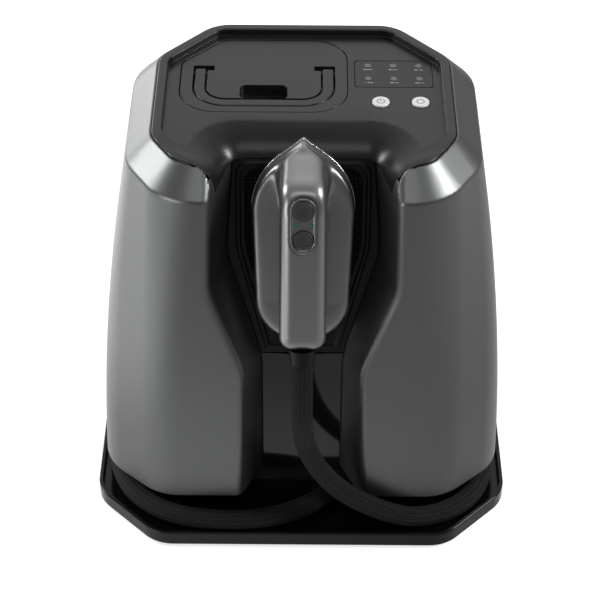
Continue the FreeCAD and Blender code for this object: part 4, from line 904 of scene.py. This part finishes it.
def addButton(name):
    node = buttons[name]["node"]
    low, high = dockSpan(node)
    radius = (high.x - low.x) / 2
    height = high.z - low.z
    piece = startCircle(name, radius, buttons["corners"])
    editAll(piece)
    raiseFace(height)
    for width, depth in buttons["steps"]:
        stepIn(radius * width, -depth * mm)
    objectMode()
    softenEdges(piece, buttons["edge"], 4)
    ring = radius * buttons["dotRing"]
    angles = [2 * math.pi * step / buttons[name]["dots"] for step in range(buttons[name]["dots"])]
    foot = height - buttons["dotSink"]
    places = [Vector((ring * math.cos(angle), ring * math.sin(angle), foot)) for angle in angles]
    if places:
        joinAll(piece, spreadCopies(gripDot(buttons["dotRadius"]), places))
    settle(piece, dockTurn @ Vector((0.0, (low.y + high.y) / 2, low.z)), dockTurn)
    smoothPiece(piece, buttons["smoothAngle"])
    dress(piece, node, (node,))


addButton("steamButton")
addButton("lockButton")
print("handset buttons set")

# display plate in the deck, with a fine groove round it
display = {
    "groove": 0.3 * mm,
    "corner": 3.2 * mm,
    "cornerSteps": 10,
    "edge": 0.2 * mm,
    "smoothAngle": 30.0,
    "plateTones": (grey(0.006), grey(0.008)),
    "rough": 0.27,
    "dustRough": 0.05,
    "dustBump": 0.02,
    "dustEdge": 0.3 * mm,
    "specular": 0.28,
    "lensRadius": 2.6 * mm,
    "markDrop": 5.6 * mm,
    "markHalf": 3.4 * mm,
    "markThick": 0.55 * mm,
    "markTone": grey(0.3),
    "speckScale": 1300.0,
}


def addDisplay():
    low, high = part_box("display_window")
    bpy.ops.object.select_all(action="DESELECT")
    bpy.ops.mesh.primitive_plane_add(size=1.0)
    piece = named("displayPlate")
    editAll(piece)
    size = high - low
    bpy.ops.transform.resize(value=(size.x - 2 * display["groove"], size.y - 2 * display["groove"], 1.0))
    bpy.ops.mesh.bevel(offset=display["corner"], segments=display["cornerSteps"], affect="VERTICES")
    bpy.ops.mesh.select_all(action="SELECT")
    raiseFace(size.z)
    objectMode()
    softenEdges(piece, display["edge"])
    settle(piece, Vector(((low.x + high.x) / 2, (low.y + high.y) / 2, low.z)))
    smoothPiece(piece, display["smoothAngle"])
    dress(piece, "display_window", ("display_window",))


addDisplay()


# faint marks under the six lenses
def markDisplay():
    low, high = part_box("indicator_lenses")
    reach = display["lensRadius"]
    shader = Shader("displayMarks")
    x, y = shader.axes(shader.place())[:2]
    marks = 0.0
    for column in range(3):
        for row in range(2):
            across = x - (low.x + reach + column * (high.x - low.x - 2 * reach) / 2)
            along = y - (low.y + reach + row * (high.y - low.y - 2 * reach) - display["markDrop"])
            bar = across.within(-display["markHalf"], display["markHalf"])
            marks = bar * along.within(-display["markThick"], display["markThick"]) + marks
    dust = shader.noise(glossWave["dustScale"], 2.0)
    specks = shader.noise(display["speckScale"], 1.0) > 0.5
    base = shader.mix(dust, *display["plateTones"])
    shader.set(colour=shader.mix(marks * specks, base, display["markTone"]), specular=display["specular"])
    shader.set(rough=dust * display["dustRough"] + display["rough"])
    shader.set(normal=shader.bump(dust, display["dustBump"], bumpReach, display["dustEdge"]))
    piece = bpy.data.objects["displayPlate"]
    piece.data.materials[0] = shader.material


markDisplay()
print("display set")

# two round keys: a soft edge and a thin printed sign
keys = {
    "powerKey": {"node": "power_button", "sign": "power"},
    "modeKey": {"node": "mode_button", "sign": "ring"},
    "ring": 2.7 * mm,
    "line": 0.34 * mm,
    "gap": 1.0 * mm,
    "barStart": 0.3 * mm,
    "edge": 0.7 * mm,
    "flatAngle": 0.5,
    "bevelAngle": 50.0,
    "smoothAngle": 32.0,
    "ink": grey(0.03),
    "inkDepth": 0.1 * mm,
    "cap": grey(0.5),
    "rough": 0.28,
    "grainScale": 1500.0,
    "grainRough": 0.1,
    "grainBump": 0.05,
}


def keyFinish(name):
    low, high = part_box(keys[name]["node"])
    middle = (low + high) / 2
    shader = Shader(name + "Print")
    x, y, z = shader.axes(shader.place())
    across, along = x - middle.x, y - middle.y
    reach = (across * across + along * along).root()
    sign = reach.within(keys["ring"] - keys["line"], keys["ring"] + keys["line"])
    if keys[name]["sign"] == "power":
        opening = across.within(-keys["gap"], keys["gap"]) * (along > 0.0)
        bar = across.within(-keys["line"], keys["line"])
        bar = bar * along.within(keys["barStart"], keys["ring"] + keys["gap"])
        sign = (sign * (1 - opening)).above(bar)
    onTop = z > high.z - keys["inkDepth"]
    grain = shader.noise(keys["grainScale"], 2.0)
    shader.set(colour=shader.mix(sign * onTop, keys["cap"], keys["ink"]))
    shader.set(rough=grain * keys["grainRough"] + keys["rough"])
    shader.set(normal=shader.bump(grain, keys["grainBump"], bumpReach))
    return shader.material


def addKey(name):
    node = keys[name]["node"]
    piece = nodeCopy(node, name)
    editAll(piece)
    bpy.ops.mesh.dissolve_limited(angle_limit=math.radians(keys["flatAngle"]))
    objectMode()
    softenEdges(piece, keys["edge"], 4, keys["bevelAngle"])
    smoothPiece(piece, keys["smoothAngle"])
    dress(piece, node, (node,))
    piece.data.materials[0] = keyFinish(name)


addKey("powerKey")
addKey("modeKey")
print("keys set")

# pale floor and soft studio light
studio = {
    "floorSize": 12.0,
    "floorRough": 0.9,
    "floorColour": grey(0.42),
    "floorGlow": grey(0.23),
    "floorShine": grey(0.56),
    "floorSide": (-0.25, -0.38),
    "floorWhite": (0.4, 0.8),
    "glowLevel": 3.0,
    "floorCentre": (-0.38, 0.25),
    "floorReach": (0.5, 0.76),
    "horizon": grey(0.10),
    "zenith": grey(0.34),
    "window": grey(1.5),
    "windowWay": (0.0, 0.72, 0.69),
    "backdrop": grey(1.0),
    "skyLevel": 1.0,
    "lamps": [
        {"name": "leftBox", "place": (-1.42, 0.36, 0.85), "size": (0.6, 0.65), "power": 18.0},
        {"name": "leftBackBox", "place": (-1.05, 1.25, 0.4), "size": (0.9, 0.5), "power": 8.0},
        {"name": "rightBox", "place": (1.33, -0.15, 1.05), "size": (0.42, 0.55), "power": 23.0},
        {"name": "frontBox", "place": (0.0, -1.15, 1.55), "size": (1.4, 0.6), "power": 5.5},
        {"name": "sideFill", "place": (-1.42, -1.19, 0.35), "size": (0.9, 0.7), "power": 12.0},
    ],
    "aim": (0.0, 0.0, 0.2),
}


# the camera sees white paper; the gloss sees a card of light that fades out and is brighter on the left
def addFloor():
    bpy.ops.object.select_all(action="DESELECT")
    bpy.ops.mesh.primitive_plane_add(size=studio["floorSize"], location=(0, 0, 0))
    floor = named("floor")
    shader = Shader("floorPaper")
    seen = [shader.add("ShaderNodeLightPath", output=kind)
            for kind in ("Is Camera Ray", "Is Glossy Ray", "Is Transmission Ray")]
    x, y = shader.axes(shader.place())[:2]
    across, along = x - studio["floorCentre"][0], y - studio["floorCentre"][1]
    near, far = studio["floorReach"]
    fade = ((far - (across * across + along * along).root()) / (far - near)).above(0.0).below(1.0)
    start, full = studio["floorSide"]
    side = ((x - start) / (full - start)).above(0.0).below(1.0)
    card = shader.mix(side, studio["floorGlow"], studio["floorShine"])
    mirrored = shader.mix(seen[1] * fade, grey(0.0), card)
    start, full = studio["floorWhite"]
    away = (((x * x + y * y).root() - start) / (full - start)).above(0.0).below(1.0)
    ground = shader.mix(away, studio["floorGlow"], grey(1.0 / studio["glowLevel"]))
    paper = shader.mix(seen[0].above(seen[2]), mirrored, ground)
    shader.set(colour=studio["floorColour"], rough=studio["floorRough"])
    shader.set(glow=paper, glowLevel=studio["glowLevel"])
    floor.data.materials.append(shader.material)


def addSky():
    world = bpy.data.worlds.new("studio")
    shader = Shader("studio", world)
    direction = shader.add("ShaderNodeTexCoord", output=0)
    x, y, z = shader.axes(direction)
    way = studio["windowWay"]
    facing = (x * way[0] + y * way[1] + z * way[2]).above(0.0)
    dome = shader.mix(z.above(0.0), studio["horizon"], studio["zenith"])
    sky = shader.mix(facing * facing * facing * facing, dome, studio["window"])
    sky = shader.mix(shader.add("ShaderNodeLightPath", output="Is Camera Ray"), sky, studio["backdrop"])
    shader.set(sky=sky, skyLevel=studio["skyLevel"])
    bpy.context.scene.world = world


def addLamp(lamp):
    light = bpy.data.lights.new(lamp["name"], "AREA")
    light.shape = "RECTANGLE"
    light.size = lamp["size"][0]
    light.size_y = lamp["size"][1]
    light.energy = lamp["power"]
    holder = bpy.data.objects.new(lamp["name"], light)
    bpy.context.scene.collection.objects.link(holder)
    holder.location = lamp["place"]
    aim = Vector(studio["aim"]) - Vector(lamp["place"])
    holder.rotation_euler = aim.to_track_quat("-Z", "Y").to_euler()


addFloor()
addSky()
for lamp in studio["lamps"]:
    addLamp(lamp)
bpy.context.scene.view_settings.view_transform = "Standard"
print("studio lit")
